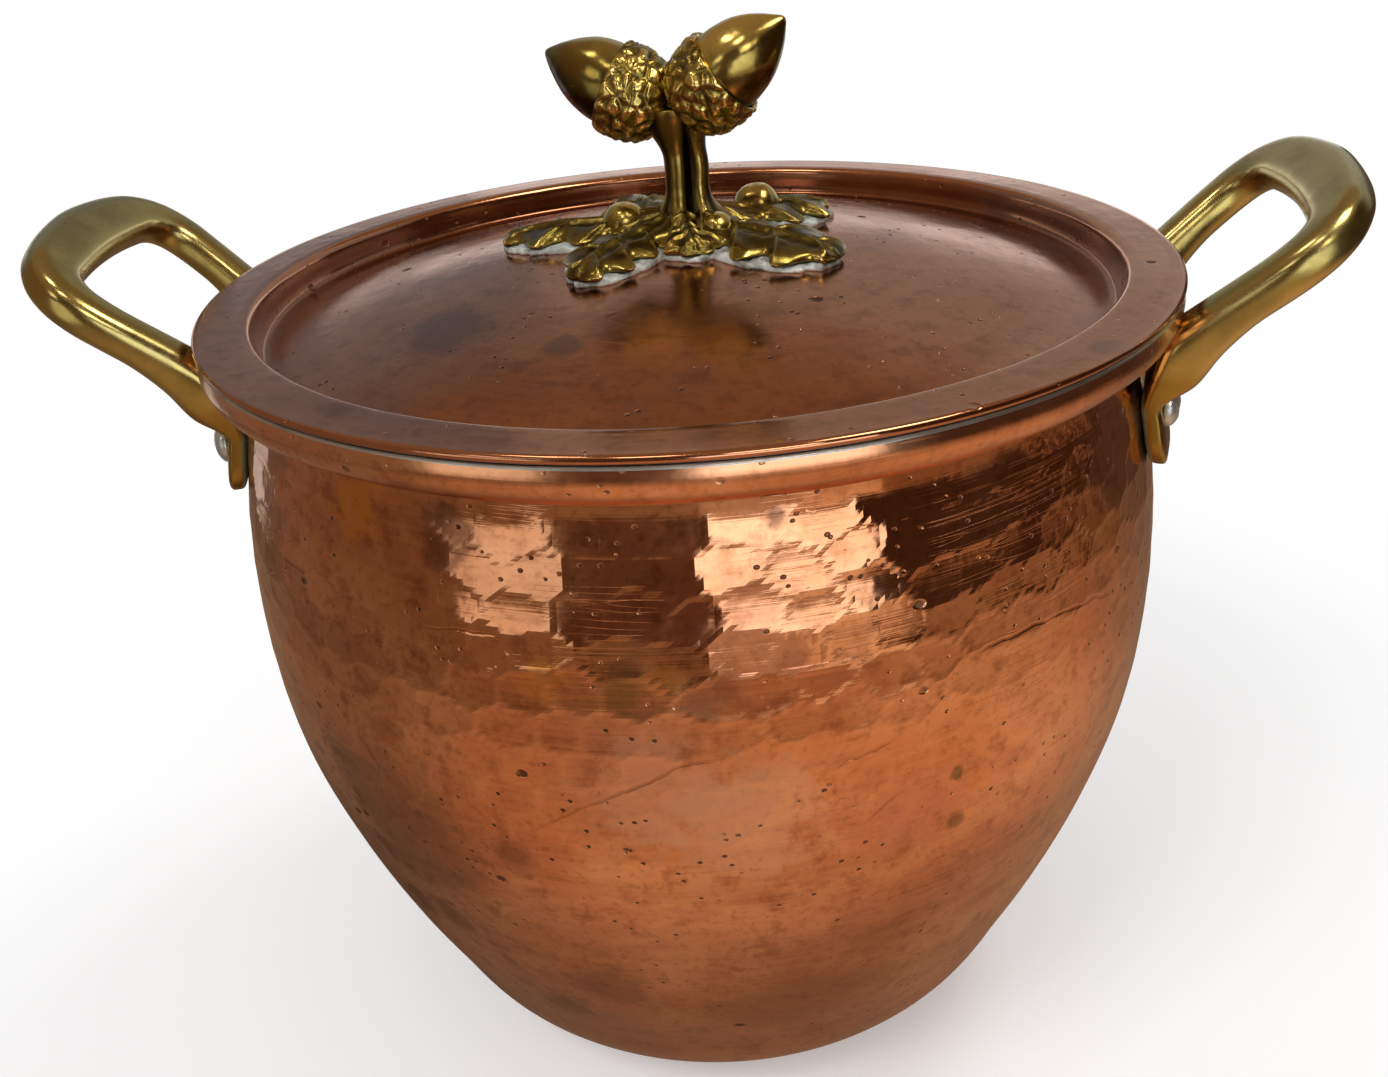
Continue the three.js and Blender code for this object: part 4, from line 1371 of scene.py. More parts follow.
@dataclass
class Finial:
    """The oak spray on the lid: solder, leaves, berries, twin twigs and two acorns.

    Attributes:
        lid: The lid that it stands on.
        brass: The metal of the casting.
        metal: The metal of the solder.
        turn: How far the spray is turned about Z, in radians.
        leaf_fullness: How much wider than its half width a leaf swells.
        lobes: How many lobes a leaf has on each side.
        lobe_stagger: How far the lobes of the two sides are out of step, as a share of its length.
        vein_slant: How far a vein runs forward on its way to the edge, as such a share.
        bay_share: How deep the bays between the lobes cut in.
        scales: How many scales a cup has.
        cup_shares: The outside of a cup, as shares of its radius and length.
        cup_mouth: The inside of its mouth, as radius and distance.
        nut_shares: The outside of a nut, as shares like those of a cup.
        twig_radii: The radius of a twig at its foot, at its waist and under its cup.
        twig_split: How far from the axis the plane lies where the two twigs meet.
        leaf_grid: The rows and columns of a leaf's mesh, and likewise for the pieces below.
    """

    lid: Lid
    brass: Metal
    metal: Metal
    turn: float = math.radians(5)
    leaf_start: float = 9.5
    leaf_root: float = 5.0
    leaf_bottom: float = 1.8
    stem_half_width: float = 2.0
    edge_thickness: float = 2.0
    leaf_fullness: float = 1.12
    lobes: float = 3.5
    lobe_stagger: float = 0.035
    vein_slant: float = 0.17
    bay_share: float = 0.25
    cup_radius: float = 11.9
    cup_length: float = 15.5
    scales: int = 84
    nut_radius: float = 10.2
    nut_length: float = 18.8
    nut_overlap: float = 3.7
    acorn_rise: float = 31.5
    cup_shares: Pairs = (
        (0.2, -0.01), (0.42, 0.02), (0.66, 0.11), (0.86, 0.29), (0.97, 0.54), (1, 0.8), (0.985, 0.93),
        (0.955, 1.0),
    )
    cup_mouth: Pairs = (
        (10.7, 15.4), (10.35, 15.0), (10.0, 14.0), (9.4, 12.2), (4, 11.6),
    )
    nut_shares: Pairs = (
        (0.96, 0), (1, 0.12), (0.97, 0.32), (0.85, 0.52), (0.64, 0.7), (0.39, 0.85), (0.2, 0.94),
        (0.1, 0.985),
    )
    twig_radii: Triple = (7.6, 3.2, 7.2)
    twig_split: float = 3.4
    leaf_face: Lumps = Lumps(0.2, 2.2, 31, 90)
    solder_edge: Lumps = Lumps(1.5, 2.8, 41, 300)
    solder_lumps: tuple[Lumps, Lumps] = (Lumps(1, 2.3, 42, 70), Lumps(0.5, 1.1, 43, 70))
    berry_lumps: tuple[Lumps, Lumps] = (Lumps(0.035, 6, 51), Lumps(0.012, 5, 52, 40))
    scale_seed: int = 61
    scale_curl: Lumps = Lumps(1, 1.9, 62, 60)
    nut_lumps: tuple[Lumps, Lumps] = (Lumps(0.16, 7, 71, 80), Lumps(0.05, 2.5, 72, 80))
    leaf_grid: tuple[int, int] = (110, 53)
    solder_grid: tuple[int, int] = (30, 720)
    berry_grid: tuple[int, int] = (42, 64)
    cup_grid: tuple[int, int] = (96, 200)
    nut_grid: tuple[int, int] = (70, 96)
    twig_grid: tuple[int, int] = (70, 72)
    leaves: tuple[LeafShape, ...] = (
        LeafShape("leaf_left", 163, 41, 10.5, 2),
        LeafShape("leaf_front_left", 231, 31.5, 10.5, -2),
        LeafShape("leaf_front_right", 325, 36.5, 14.2, -1),
        LeafShape("leaf_back_right", 38, 40, 13.5, -2),
        LeafShape("leaf_back_left", 108, 38, 10, 2),
        LeafShape("leaf_front_small", 278, 13, 7.5, 0),
    )
    berries: tuple[Berry, ...] = (
        Berry("berry_left", 166, 15.5, 6.0),
        Berry("berry_front", 316, 12.4, 4.8),
        Berry("berry_back_right", 38, 26, 6.4),
    )
    acorns: tuple[Acorn, ...] = (Acorn("left", -1, 164.8, 26.7), Acorn("right", 1, -16.3, 38.0))

    @property
    def top(self) -> float:
        """The height of the top of the dome."""
        return float(self.lid.dome_top(0.0))

    def cast(self, kind: str, node: str, grid: Array, relief: Array, polish: Array) -> None:
        """Make a piece of the casting.

        Args:
            kind: The word in front of the piece's name.
            node: The CAD node that it stands for.
            grid: Its rings of points.
            relief: How golden each point is, from 0 to 1: how high it lies, and on the nuts a painted
                highlight above and painted shade below.
            polish: How smooth it is there, from 0 to 1.
        """
        whole = grid_surface(grid, {"relief": relief, "polish": polish}).turned(self.turn)
        dress(f"{kind}_{node.removeprefix('acorn_')}", whole, Body.LID, "old_brass", node, self.brass)

    @staticmethod
    def swell(share: Array) -> Array:
        """How wide a leaf without lobes is at each share of its length: sin(pi * share^1.25)^0.55."""
        return np.sin(math.pi * share**1.25) ** 0.55

    def half_width(self, leaf: LeafShape, share: Array, side: Array) -> Array:
        """Half a leaf's width: a full sine swell, drawn in between the lobes by a cosine.

        The lobes on the two sides are a little out of step, as on a real leaf.

        Args:
            leaf: The leaf.
            share: Place along the leaf, from 0 at its stem to 1 at its tip.
            side: Place across it, from -1 to 1.

        Returns:
            The half width at each place.
        """
        side = np.sign(side) * np.abs(side) ** 0.3
        wave = np.cos(FULL_TURN * self.lobes * (share + self.lobe_stagger * side))
        cut = 1 - self.bay_share * (1 + wave) * smoothstep(share, 0.05, 0.3)
        fullest = leaf.half_width * self.leaf_fullness - self.stem_half_width
        return self.stem_half_width + fullest * self.swell(share) * cut

    def leaf_plan(self, leaf: LeafShape, share: Array, side: Array) -> tuple[Array, Array]:
        """The plan of a leaf, bent sideways by a half sine.

        Args:
            leaf: The leaf.
            share: Place along the leaf, from 0 at its stem to 1 at its tip.
            side: Place across it, from -1 to 1.

        Returns:
            The x and y of each point.
        """
        angle = math.radians(leaf.angle)
        tip = self.leaf_start + leaf.length
        arc = np.sin(math.pi * share)
        across = side * self.half_width(leaf, share, side) + leaf.bend * arc
        reach = self.leaf_root + share * (tip - self.leaf_root) + 1.6 * np.abs(side) ** 2 * arc
        return (
            reach * math.cos(angle) - across * math.sin(angle),
            reach * math.sin(angle) + across * math.cos(angle),
        )

    def leaf_relief(self, leaf: LeafShape, share: Array, side: Array) -> tuple[Array, Array]:
        """The height of a leaf's veins and folds over its plain thickness, and its ribs alone.

        It adds a midrib exp(-(y / 0.8)^2), one vein to each lobe, a hollow on each side of the
        midrib, and lobes that swell between the veins, droop at the edge and rise at the bays.

        Args:
            leaf: The leaf.
            share: Place along the leaf, from 0 at its stem to 1 at its tip.
            side: Place across it, from -1 to 1.

        Returns:
            The height and the ribs at each place.
        """
        y = side * self.half_width(leaf, share, side)
        beside = np.abs(side)
        stagger = self.lobe_stagger * np.sign(side)
        rib = np.exp(-((y / 0.8) ** 2)) * (1 - 0.5 * share)
        veins = np.zeros_like(y)
        for lobe in range(math.ceil(self.lobes)):
            centre = (lobe + 0.5) / self.lobes - stagger - self.vein_slant * (1 - beside) - 0.01
            veins += np.exp(-(((share - centre) * leaf.length / 0.7) ** 2)) * (1 - 0.3 * beside)
        veins *= 0.8 * smoothstep(beside, 0.02, 0.22) * smoothstep(-share, -1, -0.93)
        phase = FULL_TURN * self.lobes * (share + self.vein_slant * (1 - beside) + stagger)
        swell = -0.5 * np.cos(phase) * beside * (1 - beside) * 2.4
        arch = 2.5 * (1 - beside**1.8) * np.sin(math.pi * np.clip(share, 0, 1)) ** 0.7
        hollow = -0.75 * np.exp(-(((np.abs(y) - 2.3) / 1.2) ** 2)) * np.sin(math.pi * share)
        wave = np.cos(FULL_TURN * self.lobes * (share + stagger))
        edge = beside**3 * (0.55 * np.clip(wave, 0, 1) - 1.0 * np.clip(-wave, 0, 1))
        mound = 3.2 * (1 - smoothstep(share, 0, 0.34))
        return arch + swell + hollow + edge + mound + rib + veins, np.clip(rib + veins, 0, 1)

    def leaf(self, leaf: LeafShape) -> None:
        """Make one leaf: rings that go over its top and back along its underside.

        Args:
            leaf: The leaf.
        """
        rows, columns = self.leaf_grid
        share = np.linspace(0, 1, rows)[:, None]
        across = np.sin(np.linspace(-math.pi / 2, math.pi / 2, columns))[None, :]
        x, y = self.leaf_plan(leaf, share, across)
        rest = self.lid.dome_top(np.hypot(x, y)) + self.leaf_bottom
        relief, ribs = self.leaf_relief(leaf, share, across)
        rough = self.leaf_face.at(points_at(x, y, rest))
        edge = 1 - np.abs(across) ** 12
        tip = smoothstep(-share, -1.0, -0.965)
        lift = self.edge_thickness * (0.4 + 0.4 * edge * tip) + (relief + rough) * (0.2 + 0.8 * edge)
        upper = points_at(x, y, rest + np.maximum(lift, 0.5))
        x, y = self.leaf_plan(leaf, share, across[:, ::-1] * 0.93)
        under = points_at(x, y, self.lid.dome_top(np.hypot(x, y)) + self.leaf_bottom - 0.3)
        gold = np.clip(0.3 + 0.35 * ribs + 0.5 * np.abs(across) ** 5 + 0.8 * rough, 0, 1)
        gold = np.hstack([gold, np.zeros_like(gold)])
        self.cast("oak", leaf.name, np.hstack([upper, under]), gold, 0.3 + 0.5 * gold)

    def solder(self) -> None:
        """Make the lumpy solder bed in polar form.

        In each direction it reaches to the furthest point that any leaf's plain outline covers,
        softened by a short weighted mean, and its top is domed and lumpy.
        """
        rows, sides = self.solder_grid
        angle, reach = turns(sides), np.linspace(0, 54, 217)
        edge = np.full(len(angle), 12.0)
        for leaf in self.leaves:
            away = angle[:, None] - math.radians(leaf.angle)
            length = self.leaf_start + leaf.length - self.leaf_root + 0.6
            along = (reach * np.cos(away) - self.leaf_root) / length
            clipped = np.clip(along, 0, 1)
            beside = reach * np.sin(away) - leaf.bend * np.sin(math.pi * clipped)
            wide = leaf.half_width * self.leaf_fullness * self.swell(clipped) * 0.86 + 0.9
            inside = (np.abs(beside) < wide) & (along > 0) & (along < 1)
            edge = np.maximum(edge, np.where(inside, reach, 0).max(axis=1))
        width = 15
        wrapped = np.concatenate([edge[-(width // 2) :], edge, edge[: width // 2]])
        edge = softened(wrapped, width)
        edge = edge + self.solder_edge.at(polar(edge, angle, 0.0)) - 0.6
        t = np.concatenate([np.linspace(0.06, 0.9, rows), [0.94, 0.97, 0.99, 1.0, 1.003, 1.0]])[:, None]
        drop = np.array([0] * rows + [0.1, 0.25, 0.55, 0.85, 1.25, 1.75])[:, None]
        flat = polar(t * edge, angle, 0.0)
        lump = sum(lumps.at(flat) for lumps in self.solder_lumps)
        height = self.lid.dome_top(np.hypot(flat[..., 0], flat[..., 1])) + 1.75
        height = height + 0.75 * lump * (drop < 1) - drop
        grid = points_at(flat[..., 0], flat[..., 1], height)[::-1]
        low, high = (np.array([0, 0, self.top + rise]) for rise in (-0.2, 1.5))
        whole = grid_surface(grid, None, low, high).turned(self.turn)
        dress("solder_lumps", whole, Body.LID, "solder", "solder_bed", self.metal)

    def berry(self, berry: Berry) -> None:
        """Make a berry: a lumpy ball with a faint groove round its top, bedded in its leaf.

        Args:
            berry: The berry.
        """
        rows, sides = self.berry_grid
        up = np.linspace(-math.pi / 2, math.pi / 2, rows)[1:-1, None]
        ball = polar(np.cos(up), turns(sides)[None, :], np.sin(up))
        rise = ball[..., 2]
        wide, fine = self.berry_lumps
        swell = 1 + wide.at(ball * 10 + berry.reach) + fine.at(ball * 30)
        swell = swell - 0.03 * np.exp(-(((up - 1.35) / 0.12) ** 2))
        swell = swell * np.where(rise > 0, 1, 1 + 0.25 * rise**2)
        rest = self.lid.dome_top(berry.reach) + self.leaf_bottom + 1.2
        centre = polar(berry.reach, math.radians(berry.angle), rest + berry.radius * 0.12)
        relief = np.clip(0.5 + 0.45 * rise, 0, 1)
        grid = centre + ball * swell[..., None] * berry.radius
        self.cast("gold", berry.name, grid, relief, 0.3 + 0.6 * relief)

    def start(self, acorn: Acorn) -> Array:
        """The point where an acorn's axis starts."""
        return np.array([acorn.side * 1.7, -acorn.side * 1.0, self.top + self.acorn_rise])

    def spun(self, acorn: Acorn, outline: Array, sides: int) -> tuple[Array, Array, Array]:
        """A profile spun about an acorn's axis.

        Args:
            acorn: The acorn.
            outline: Radius and distance along the axis.
            sides: How many columns go round.

        Returns:
            The points, the outward direction of each column, and the angle of each column.
        """
        first = unit(np.cross(acorn.aim, (0, 0, 1.0)))
        second = np.cross(acorn.aim, first)
        turn = turns(sides)
        out = np.cos(turn)[:, None] * first + np.sin(turn)[:, None] * second
        spot = self.start(acorn) + outline[:, None, 1:] * acorn.aim + out[None] * outline[:, None, :1]
        return spot, out[None], turn[None, :]

    def cup(self, acorn: Acorn) -> None:
        """Make a cup whose outside is covered in raised, crooked scales.

        Sites wind round the profile in golden-angle steps, each strayed at random. Each scale
        is a cushion that falls off where the nearest and second nearest site are equally far.

        Args:
            acorn: The acorn.
        """
        last, sides = self.cup_grid
        golden_share = 0.381966
        knots = np.array(self.cup_shares) * (self.cup_radius, self.cup_length)
        outline = np.vstack([smooth_path(knots, count=last), self.cup_mouth])
        spot, out, _ = self.spun(acorn, outline, sides)
        rng = np.random.default_rng(self.scale_seed + acorn.side)
        place = np.sqrt(np.linspace(0.012, 1, self.scales)) * (last - 1) + rng.uniform(-2.2, 2.2, self.scales)
        column = np.arange(self.scales) * sides * golden_share + rng.uniform(-6, 6, self.scales)
        sites = spot[np.clip(place, 0, last - 1).astype(int), column.astype(int) % sides]
        away = np.linalg.norm(spot[:, :, None, :] - sites, axis=-1)
        nearest = np.partition(away, 1, axis=-1)[..., :2]
        crease = smoothstep(nearest[..., 1] - nearest[..., 0], 0, 2.2)
        outer = smoothstep(-np.arange(len(outline)), -last - 1, -last + 5)[:, None]
        curl = self.scale_curl.at(spot)
        bump = (0.5 * crease - 0.3 + 0.35 * curl) * outer * smoothstep(outline[:, :1], 2, 6)
        relief = np.clip(0.5 + 0.45 * crease + 0.4 * curl, 0, 1)
        grid = spot + out * bump[..., None]
        self.cast("scaly", f"acorn_cup_{acorn.name}", grid, relief, 0.2 + 0.6 * relief)

    def nut(self, acorn: Acorn) -> None:
        """Make a smooth nut that narrows to a blunt point.

        Args:
            acorn: The acorn.
        """
        start = self.cup_length - self.nut_overlap
        length = self.cup_length + self.nut_length - start
        rows, sides = self.nut_grid
        knots = np.array(self.nut_shares) * (self.nut_radius, length) + (0, start)
        outline = np.vstack([smooth_path(knots, count=rows), [(0.45, start + length)]])
        spot, out, turn = self.spun(acorn, outline, sides)
        swell = sum(lumps.at(spot) for lumps in self.nut_lumps)
        flute = 0.12 * np.cos(turn * 5 + acorn.side) * smoothstep(outline[:, :1], 2, 8)
        grid = spot + out * (swell * smoothstep(outline[:, :1], 0.5, 4) + flute)[..., None]
        # Painted highlight and shade: the nut is golden on its upper side, more so on the right acorn, and
        # dark underneath.
        relief = np.clip(0.52 + 0.16 * acorn.side + 0.5 * out[..., 2] + 0.12 * swell, 0, 1.2)
        self.cast("smooth", f"acorn_nut_{acorn.name}", grid, relief, np.ones_like(swell))

    def twig(self, acorn: Acorn) -> None:
        """Make one twig: a fluted section swept up its centreline.

        The radius flares at the foot, is slim in the middle and fuller under the cup. Four broad
        ridges with finer ones between them run along it, deepest at the foot.

        Args:
            acorn: The acorn that it carries.
        """
        rows, sides = self.twig_grid
        side, foot = acorn.side, 2.2 + acorn.side * 2.4
        steps = ((1.35, 0.9), (1.1, 6), (1, 13), (1, 20))
        knots = np.array([(foot * out, 0, self.top + rise) for out, rise in steps])
        head = self.start(acorn) * (0.4, 0.4, 1) + acorn.aim * 0.8 + (0, 0, 0.8)
        line = smooth_path(np.vstack([knots, [head]]), count=rows)
        forward = unit(np.gradient(line, axis=0))
        across = unit(np.cross(forward, (0, 1.0, 0)))
        depth = np.cross(across, forward)
        share = np.linspace(0, 1, rows)[:, None]
        flare = 1 - smoothstep(share, 0, 0.42)
        foot_radius, waist, neck = self.twig_radii
        slim = waist + (neck - waist) * smoothstep(share, 0.62, 1)
        radius = slim + (foot_radius - slim) * flare**1.6
        turn = turns(sides)[None, :]
        ridges = np.cos(turn * 4 + side * 0.8 + share * 1.4) * 0.55 + np.cos(turn * 7 + 2 * share) * 0.2
        swell = radius * (1 + (0.05 + 0.26 * flare + 0.06 * smoothstep(share, 0.75, 1)) * ridges)
        grid = line[:, None] + across[:, None] * (np.cos(turn) * swell)[..., None]
        grid = grid + depth[:, None] * (np.sin(turn) * swell)[..., None]
        beyond = grid[..., 0] - self.twig_split
        flat = self.twig_split - side * 0.2 + beyond * 0.12
        grid[..., 0] = np.where(side * beyond < -0.2, flat, grid[..., 0])
        relief = np.clip(0.42 + 0.5 * ridges, 0, 1) * smoothstep(side * beyond, -0.3, 0.6)
        self.cast("fluted", f"twig_{acorn.name}", grid, relief, 0.75 * relief)

    def build(self) -> None:
        """Make every piece of the spray."""
        self.solder()
        for leaf in self.leaves:
            self.leaf(leaf)
        for berry in self.berries:
            self.berry(berry)
        for acorn in self.acorns:
            self.twig(acorn)
            self.cup(acorn)
            self.nut(acorn)


# Studio

ROOM_RADIUS = 560.0


def reflected_only(name: str, surface: Surface, colour: Triple) -> None:
    """Make a glowing stage piece that reflections see, and the camera, floor and shadows don't.

    Args:
        name: Its name.
        surface: Its surface.
        colour: Its light, where 1 is the plain level.
    """
    g = new_graph(name)
    card = put_mesh(name, surface, g.output(g.emission(colour)))
    card.visible_camera = card.visible_diffuse = card.visible_shadow = False


def disc(radius: float, height: float, sides: int) -> Surface:
    """A flat disc about the axis: a ring of points and a fan from its middle.

    Args:
        radius: Its radius.
        height: Its height.
        sides: How many points its ring has.

    Returns:
        The disc.
    """
    points = np.vstack([polar(radius, turns(sides), height), [(0, 0, height)]])
    number = np.arange(sides)
    return Surface(points, [np.stack([np.full(sides, sides), number, np.roll(number, -1)], axis=-1)])


@dataclass(frozen=True)
class Card:
    """A curved card that only reflections see, standing round the pot.

    Attributes:
        name: The card's name.
        start: Its first direction in degrees, from the front towards the right.
        end: Its last direction.
        low: The height of its lower edge.
        high: The height of its upper edge.
        colour: Its light, where 1 is the plain level.
        low_end: The height of its lower edge at its end, where that differs.
    """

    name: str
    start: float
    end: float
    low: float
    high: float
    colour: Triple
    low_end: float | None = None

    def build(self) -> None:
        """Make the card as a piece of a cylinder."""
        columns = 25
        turn = np.radians(np.linspace(self.start, self.end, columns) - 90)
        last = self.low if self.low_end is None else self.low_end
        edges = [polar(ROOM_RADIUS, turn, high) for high in (np.linspace(self.low, last, columns), self.high)]
        quads = quads_between(np.arange(2 * columns).reshape(2, columns))
        reflected_only(self.name, Surface(np.vstack(edges), [quads]), self.colour)


@dataclass
class Studio:
    """The pale floor, the soft light, the reflection cards and the camera.

    Attributes:
        photo_width: The photograph's width in pixels.
        focal: The camera's focal length in photograph pixels.
        distance: How far the camera stands in front of the axis.
        height: The camera's height.
        yaw: Its turn to the side in degrees.
        pitch: Its tilt down in degrees.
        roll: Its roll in degrees.
        turn: How far the part is turned against the photograph's own frame, in degrees.
        floor_radius: The radius of the floor.
        floor_height: Its height, a little below the pot.
        ceiling: The ceiling's light, where 1 is the plain level.
        ceiling_lamps: The x, y and half width of each lamp in the ceiling.
        lamp_glow: Their light.
        soft_boxes: The name, place and width in metres and power in watts of each soft box.
    """

    photo_width: int = 1388
    focal: float = 1252.0
    distance: float = 327.4
    height: float = 303.75
    yaw: float = -0.49
    pitch: float = 27.98
    roll: float = -4.16
    turn: float = 5.5
    floor_radius: float = 4000.0
    floor_height: float = -0.4
    room_height: float = 640.0
    ceiling: Triple = (0.28, 0.19, 0.12)
    ceiling_lamps: tuple[Triple, ...] = ((-150, -60, 40), (240, -70, 90), (-40, -250, 40))
    lamp_glow: Triple = (8.0, 7.6, 6.6)
    soft_boxes: tuple[tuple[str, Triple, float, float], ...] = (
        ("soft_box_front", (-0.7, -0.9, 1.5), 0.7, 9),
        ("soft_box_back", (0.9, 0.8, 1.4), 0.6, 6),
    )
    cards: tuple[Card, ...] = (
        Card("wall_left", -104, -46, 0, 640, (0.23, 0.14, 0.088)),
        Card("sill_left", -46, -23, 0, 90, (0.28, 0.18, 0.12)),
        Card("window_left", -46, -23, 90, 340, (1.05, 1.0, 0.93)),
        Card("over_window_left", -46, -23, 340, 460, (0.05, 0.037, 0.03)),
        Card("lamp_left", -42, -28, 460, 560, (2.6, 2.4, 2.1)),
        Card("beside_lamp_left", -46, -42, 460, 640, (0.06, 0.045, 0.035)),
        Card("beside_lamp_middle", -28, 12, 460, 640, (0.06, 0.045, 0.035)),
        Card("pier_foot", -23, 5, 0, 62, (0.3, 0.19, 0.12)),
        Card("pier", -23, 5, 62, 460, (0.12, 0.062, 0.036)),
        Card("sill_right", 5, 24, 0, 99, (0.62, 0.48, 0.37)),
        Card("sunlit_sill", 24, 44, 0, 70, (1.0, 0.78, 0.58)),
        Card("sill_shade", 24, 38, 70, 99, (0.5, 0.37, 0.28)),
        Card("window_right", 5, 38, 99, 340, (2.1, 2.2, 2.3)),
        Card("over_window_right", 5, 38, 340, 460, (0.05, 0.037, 0.03)),
        Card("lamp_right", 12, 30, 460, 620, (5.0, 4.7, 4.1)),
        Card("beside_lamp_right", 30, 38, 460, 640, (0.06, 0.045, 0.035)),
        Card("dado_right", 44, 104, -1, 80, (0.34, 0.2, 0.115)),
        Card("wall_right", 38, 104, 84, 640, (0.06, 0.03, 0.018), 6),
        Card("wall_right_far", 104, 140, 0, 300, (0.09, 0.05, 0.035)),
        Card("window_right_far", 140, 158, 60, 250, (0.8, 0.8, 0.8)),
        Card("sill_right_far", 140, 158, 0, 60, (0.4, 0.3, 0.22)),
        Card("wall_back_right", 158, 174, 0, 250, (0.2, 0.13, 0.1)),
        Card("door_back", 174, 196, 0, 215, (0.8, 0.76, 0.7)),
        Card("over_door_back", 174, 196, 215, 250, (0.15, 0.1, 0.08)),
        Card("wall_back_left", 196, 228, 0, 250, (0.2, 0.13, 0.1)),
        Card("window_left_far", 228, 246, 0, 250, (0.6, 0.58, 0.55)),
        Card("wall_left_far", 246, 256, 0, 300, (0.18, 0.12, 0.09)),
        Card("ceiling_edge_right", 104, 150, 300, 640, (0.42, 0.43, 0.45)),
        Card("ceiling_edge_back", 150, 200, 310, 640, (0.38, 0.36, 0.34)),
        Card("ceiling_edge_left", 200, 256, 290, 640, (0.22, 0.23, 0.25)),
    )

    def camera(self) -> None:
        """Set the camera at the photograph's place, with its principal point in the middle."""
        yaw, pitch, roll = (math.radians(v) for v in (self.yaw, self.pitch, self.roll))
        ahead = Vector((math.sin(yaw) * math.cos(pitch), math.cos(yaw) * math.cos(pitch), -math.sin(pitch)))
        level = Vector((math.cos(yaw), -math.sin(yaw), 0))
        above = level.cross(ahead)
        right = math.cos(roll) * level + math.sin(roll) * above
        up = -math.sin(roll) * level + math.cos(roll) * above
        place = Matrix((right, up, -ahead)).transposed().to_4x4()
        place.translation = Vector((0, -self.distance, self.height)) * MM
        data = bpy.data.cameras.new("photo_camera")
        data.sensor_width = 36.0
        data.lens = self.focal / self.photo_width * data.sensor_width
        data.clip_start, data.clip_end = 0.01, 50.0
        camera = bpy.data.objects.new("photo_camera", data)
        camera.matrix_world = Matrix.Rotation(math.radians(self.turn), 4, "Z") @ place
        bpy.context.scene.collection.objects.link(camera)
        bpy.context.scene.camera = camera

    def floor_cloth(self) -> Metal:
        """The floor's material.

        The camera sees a white cloth with the pot's shadow, which turns plain white further out.
        Reflections see a warm table that is lighter to the right, with a painted shadow that darkens it under
        the pot.

        Returns:
            The material.
        """
        g = new_graph("pale_floor")
        x, y, _, radius = g.parts(g.place())
        matt = {"Base Color": (0.86, 0.86, 0.86), "Roughness": 1.0, "Specular IOR Level": 0.0}
        near = g.wire("AddShader", {0: g.wire("BsdfPrincipled", matt), 1: g.emission(WHITE, 0.3)})
        far = g.wire("MixShader", {0: radius.span(0.2, 0.52), 1: near, 2: g.emission(WHITE)})
        side = g.math("DIVIDE", x * 0.45 - y * 0.89, radius.most(0.05)).span(-0.25, 1.0, 0.3, 0.98)
        # Painted shadow: the reflected table is darker close under the pot.
        level = side * radius.span(0.08, 0.24, 0.4, 1.0) * radius.span(0.3, 0.6, 1.0, 0.5)
        table = g.emission((0.8, 0.49, 0.3), level)
        glossy = g.wire("LightPath", out="Is Glossy Ray")
        return g.output(g.wire("MixShader", {0: glossy, 1: far, 2: table}))

    def canopy(self) -> None:
        """Close the room with a dim ceiling and its lamps, which only reflections see."""
        reflected_only("ceiling", disc(ROOM_RADIUS, self.room_height, 64), self.ceiling)
        for number, (x, y, half) in enumerate(self.ceiling_lamps):
            outline = half * np.array([(1, 1, 0), (-1, 1, 0), (-1, -1, 0), (1, -1, 0.0)])
            square = Surface(outline + (x, y, self.room_height - 5), [np.array([[0, 1, 2, 3]])])
            reflected_only(f"ceiling_lamp_{number}", square, self.lamp_glow)

    def world(self) -> None:
        """White to the camera and in reflections, and a plain soft light on everything else."""
        g = Graph(bpy.data.worlds.new("studio_air"))
        camera, glossy, clear = (
            g.wire("LightPath", out=f"Is {kind} Ray") for kind in ("Camera", "Glossy", "Transmission")
        )
        strength = camera.most(glossy.most(clear)).span(0, 1, 0.55, 1.0)
        air = g.wire("Background", {"Color": WHITE, "Strength": strength})
        bpy.context.scene.world = g.output(air, "OutputWorld")

    def lamp(self, name: str, place: Triple, size: float, power: float) -> None:
        """Hang a square soft box that faces the lid.

        Args:
            name: Its name.
            place: Where it hangs, in metres.
            size: Its width in metres.
            power: Its power in watts.
        """
        data = bpy.data.lights.new(name, "AREA")
        data.shape, data.size, data.energy = "SQUARE", size, power
        lamp = bpy.data.objects.new(name, data)
        lamp.location = place
        lamp.rotation_mode = "QUATERNION"
        lamp.rotation_quaternion = (Vector((0, 0, 0.15)) - Vector(place)).to_track_quat("-Z", "Y")
        lamp.visible_camera = lamp.visible_glossy = False
        bpy.context.scene.collection.objects.link(lamp)

    def build(self) -> None:
        """Set up floor, air, lamps, cards and camera."""
        floor = disc(self.floor_radius, self.floor_height, 96)
        put_mesh("pale_floor", floor, self.floor_cloth())
        self.world()
        for box in self.soft_boxes:
            self.lamp(*box)
        for card in self.cards:
            card.build()
        self.canopy()
        self.camera()
        bpy.context.scene.view_settings.view_transform = "Standard"


# The whole

BROWN: Triple = (0.12, 0.05, 0.03)
GREY: Triple = (0.2, 0.13, 0.11)
ORANGE: Triple = (0.75, 0.33, 0.05)
FILM: Triple = (0.66, 0.42, 0.31)

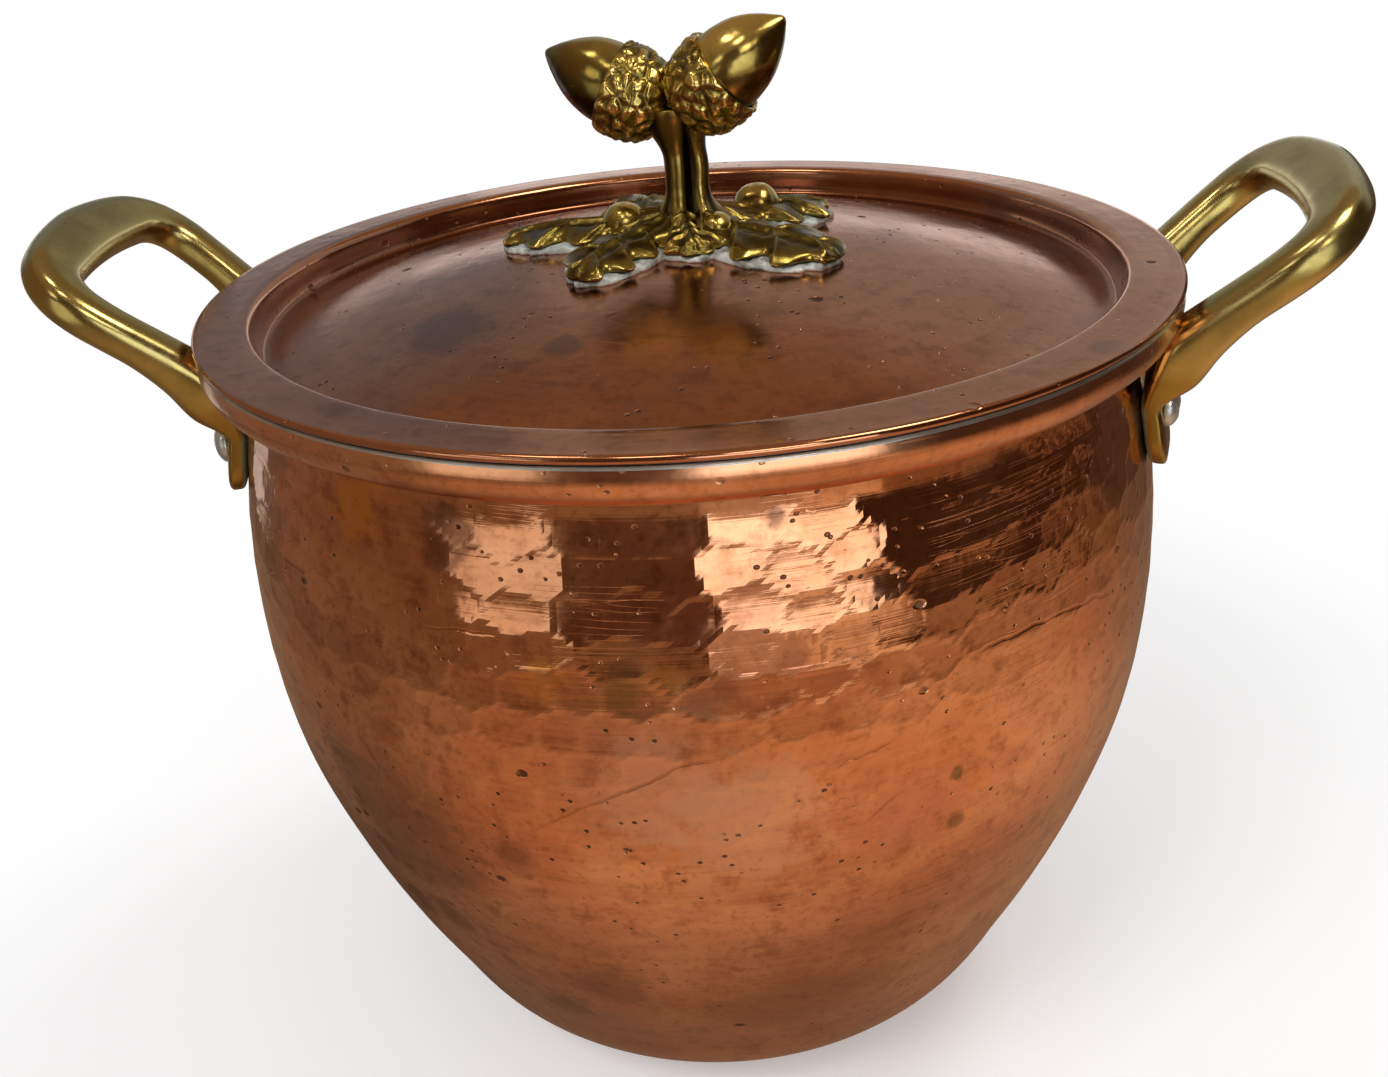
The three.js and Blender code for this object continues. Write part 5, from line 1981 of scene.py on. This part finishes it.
HAMMERED_COPPER = Copper(
    "hammered_copper", (0.6, 0.245, 0.108), (0.78, 0.4, 0.22), (0.25, 0.085, 0.033),
    (0.47, 0.18, 0.1), Grain.HEIGHT, 0.055, 0.14, 0.3, 0.09,
    (
        Stain((-64, -98, 191), 9, ORANGE, 0.75), Stain((-41, -110, 190), 7, BROWN, 0.7),
        Stain((-4, -124, 142), 24, GREY, 0.3), Stain((-22, -120, 163), 6, ORANGE, 0.45),
        Stain((9, -122, 158), 6, GREY, 0.5), Stain((-7, -122, 161), 5, (0.22, 0.16, 0.04), 0.55),
        Stain((3, -122, 163), 5, ORANGE, 0.45), Stain((14, -121, 160), 5, BROWN, 0.4),
        Stain((-64, -106, 112), 26, BROWN, 0.5), Stain((-88, -72, 84), 34, BROWN, 0.5),
        Stain((101, -71, 168), 10, ORANGE, 0.35), Stain((25, -113.5, 195), 2.6, BROWN, 0.8),
        Stain((30, -112, 55), 26, BROWN, 0.35), Stain((-1, -124, 136), 15, FILM, 0.4),
        Stain((20, -122, 126), 17, FILM, 0.4), Stain((52, -113, 122), 12, (0.5, 0.2, 0.16), 0.4),
        Stain((-36, -118, 115), 7, BROWN, 0.55), Stain((-60, -99, 77), 9, BROWN, 0.6),
        Stain((-70, -91, 74), 8, BROWN, 0.6), Stain((-18, -110, 64), 10, BROWN, 0.45),
        Stain((-34, -100, 47), 9, (0.09, 0.04, 0.035), 0.6), Stain((-81, -94, 119), 8, GREY, 0.4),
        Stain((62, -108, 128), 2, (0.12, 0.08, 0.02), 0.8), Stain((62, -107, 114), 2.5, (0.1, 0.05, 0.02)),
    ),
    (
        Scar((-30, -121, 124), (14, -124, 147)), Scar((33, -120, 138), (50, -114, 144), 0.4),
        Scar((63, -106, 157), (101, -71, 150.5)), Scar((-52, -108, 168), (-30, -118, 171), 0.4),
        Scar((40, -117, 120), (52, -112, 129), 0.4),
    ),
)

SPUN_COPPER = Copper(
    "spun_copper", (0.5, 0.205, 0.1), (0.6, 0.28, 0.155), (0.27, 0.11, 0.062),
    (0.42, 0.21, 0.15), Grain.RADIUS, 0.125, 0.25, 0.35, 0.0,
    (
        Stain((-53, -51, 212), 12, (0.19, 0.12, 0.1), 0.75), Stain((-22, -65.5, 213), 4.5, GREY, 0.7),
        Stain((91, 63, 205.5), 6, (0.06, 0.06, 0.06), 0.8), Stain((93, -78, 213), 4.5, GREY),
        Stain((100, 20, 206), 8, GREY, 0.4), Stain((-60, -96, 213), 6, BROWN, 0.5),
    ),
)

RIVET_SILVER = Grey("rivet_silver", (0.78, 0.79, 0.77), (0.42, 0.43, 0.4), (0.5, 0.53, 0.48), 0.2, 0.4, 0.85)
OLD_SOLDER = Grey("old_solder", (0.74, 0.76, 0.7), (0.16, 0.14, 0.11), (0.36, 0.44, 0.38), 0.45, 0.8, 0.15)


def main() -> None:
    logging.basicConfig(level=logging.INFO, format="%(name)s: %(message)s")
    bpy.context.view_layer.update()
    shape, lid, tin = PotShape(), Lid(), Tin().material()
    body_copper, lid_copper = HAMMERED_COPPER.material(), SPUN_COPPER.material()
    brass, silver = Brass().material(), RIVET_SILVER.material()
    Pot(shape).build(body_copper, tin)
    Handle(Side.RIGHT, shape, 183.0).build(brass, silver)
    Handle(Side.LEFT, shape, 181.3).build(brass, silver)
    lid.build(lid_copper, tin)
    Finial(lid, OldBrass().material(), OLD_SOLDER.material()).build()
    Studio().build()


if __name__ == "__main__":
    main()
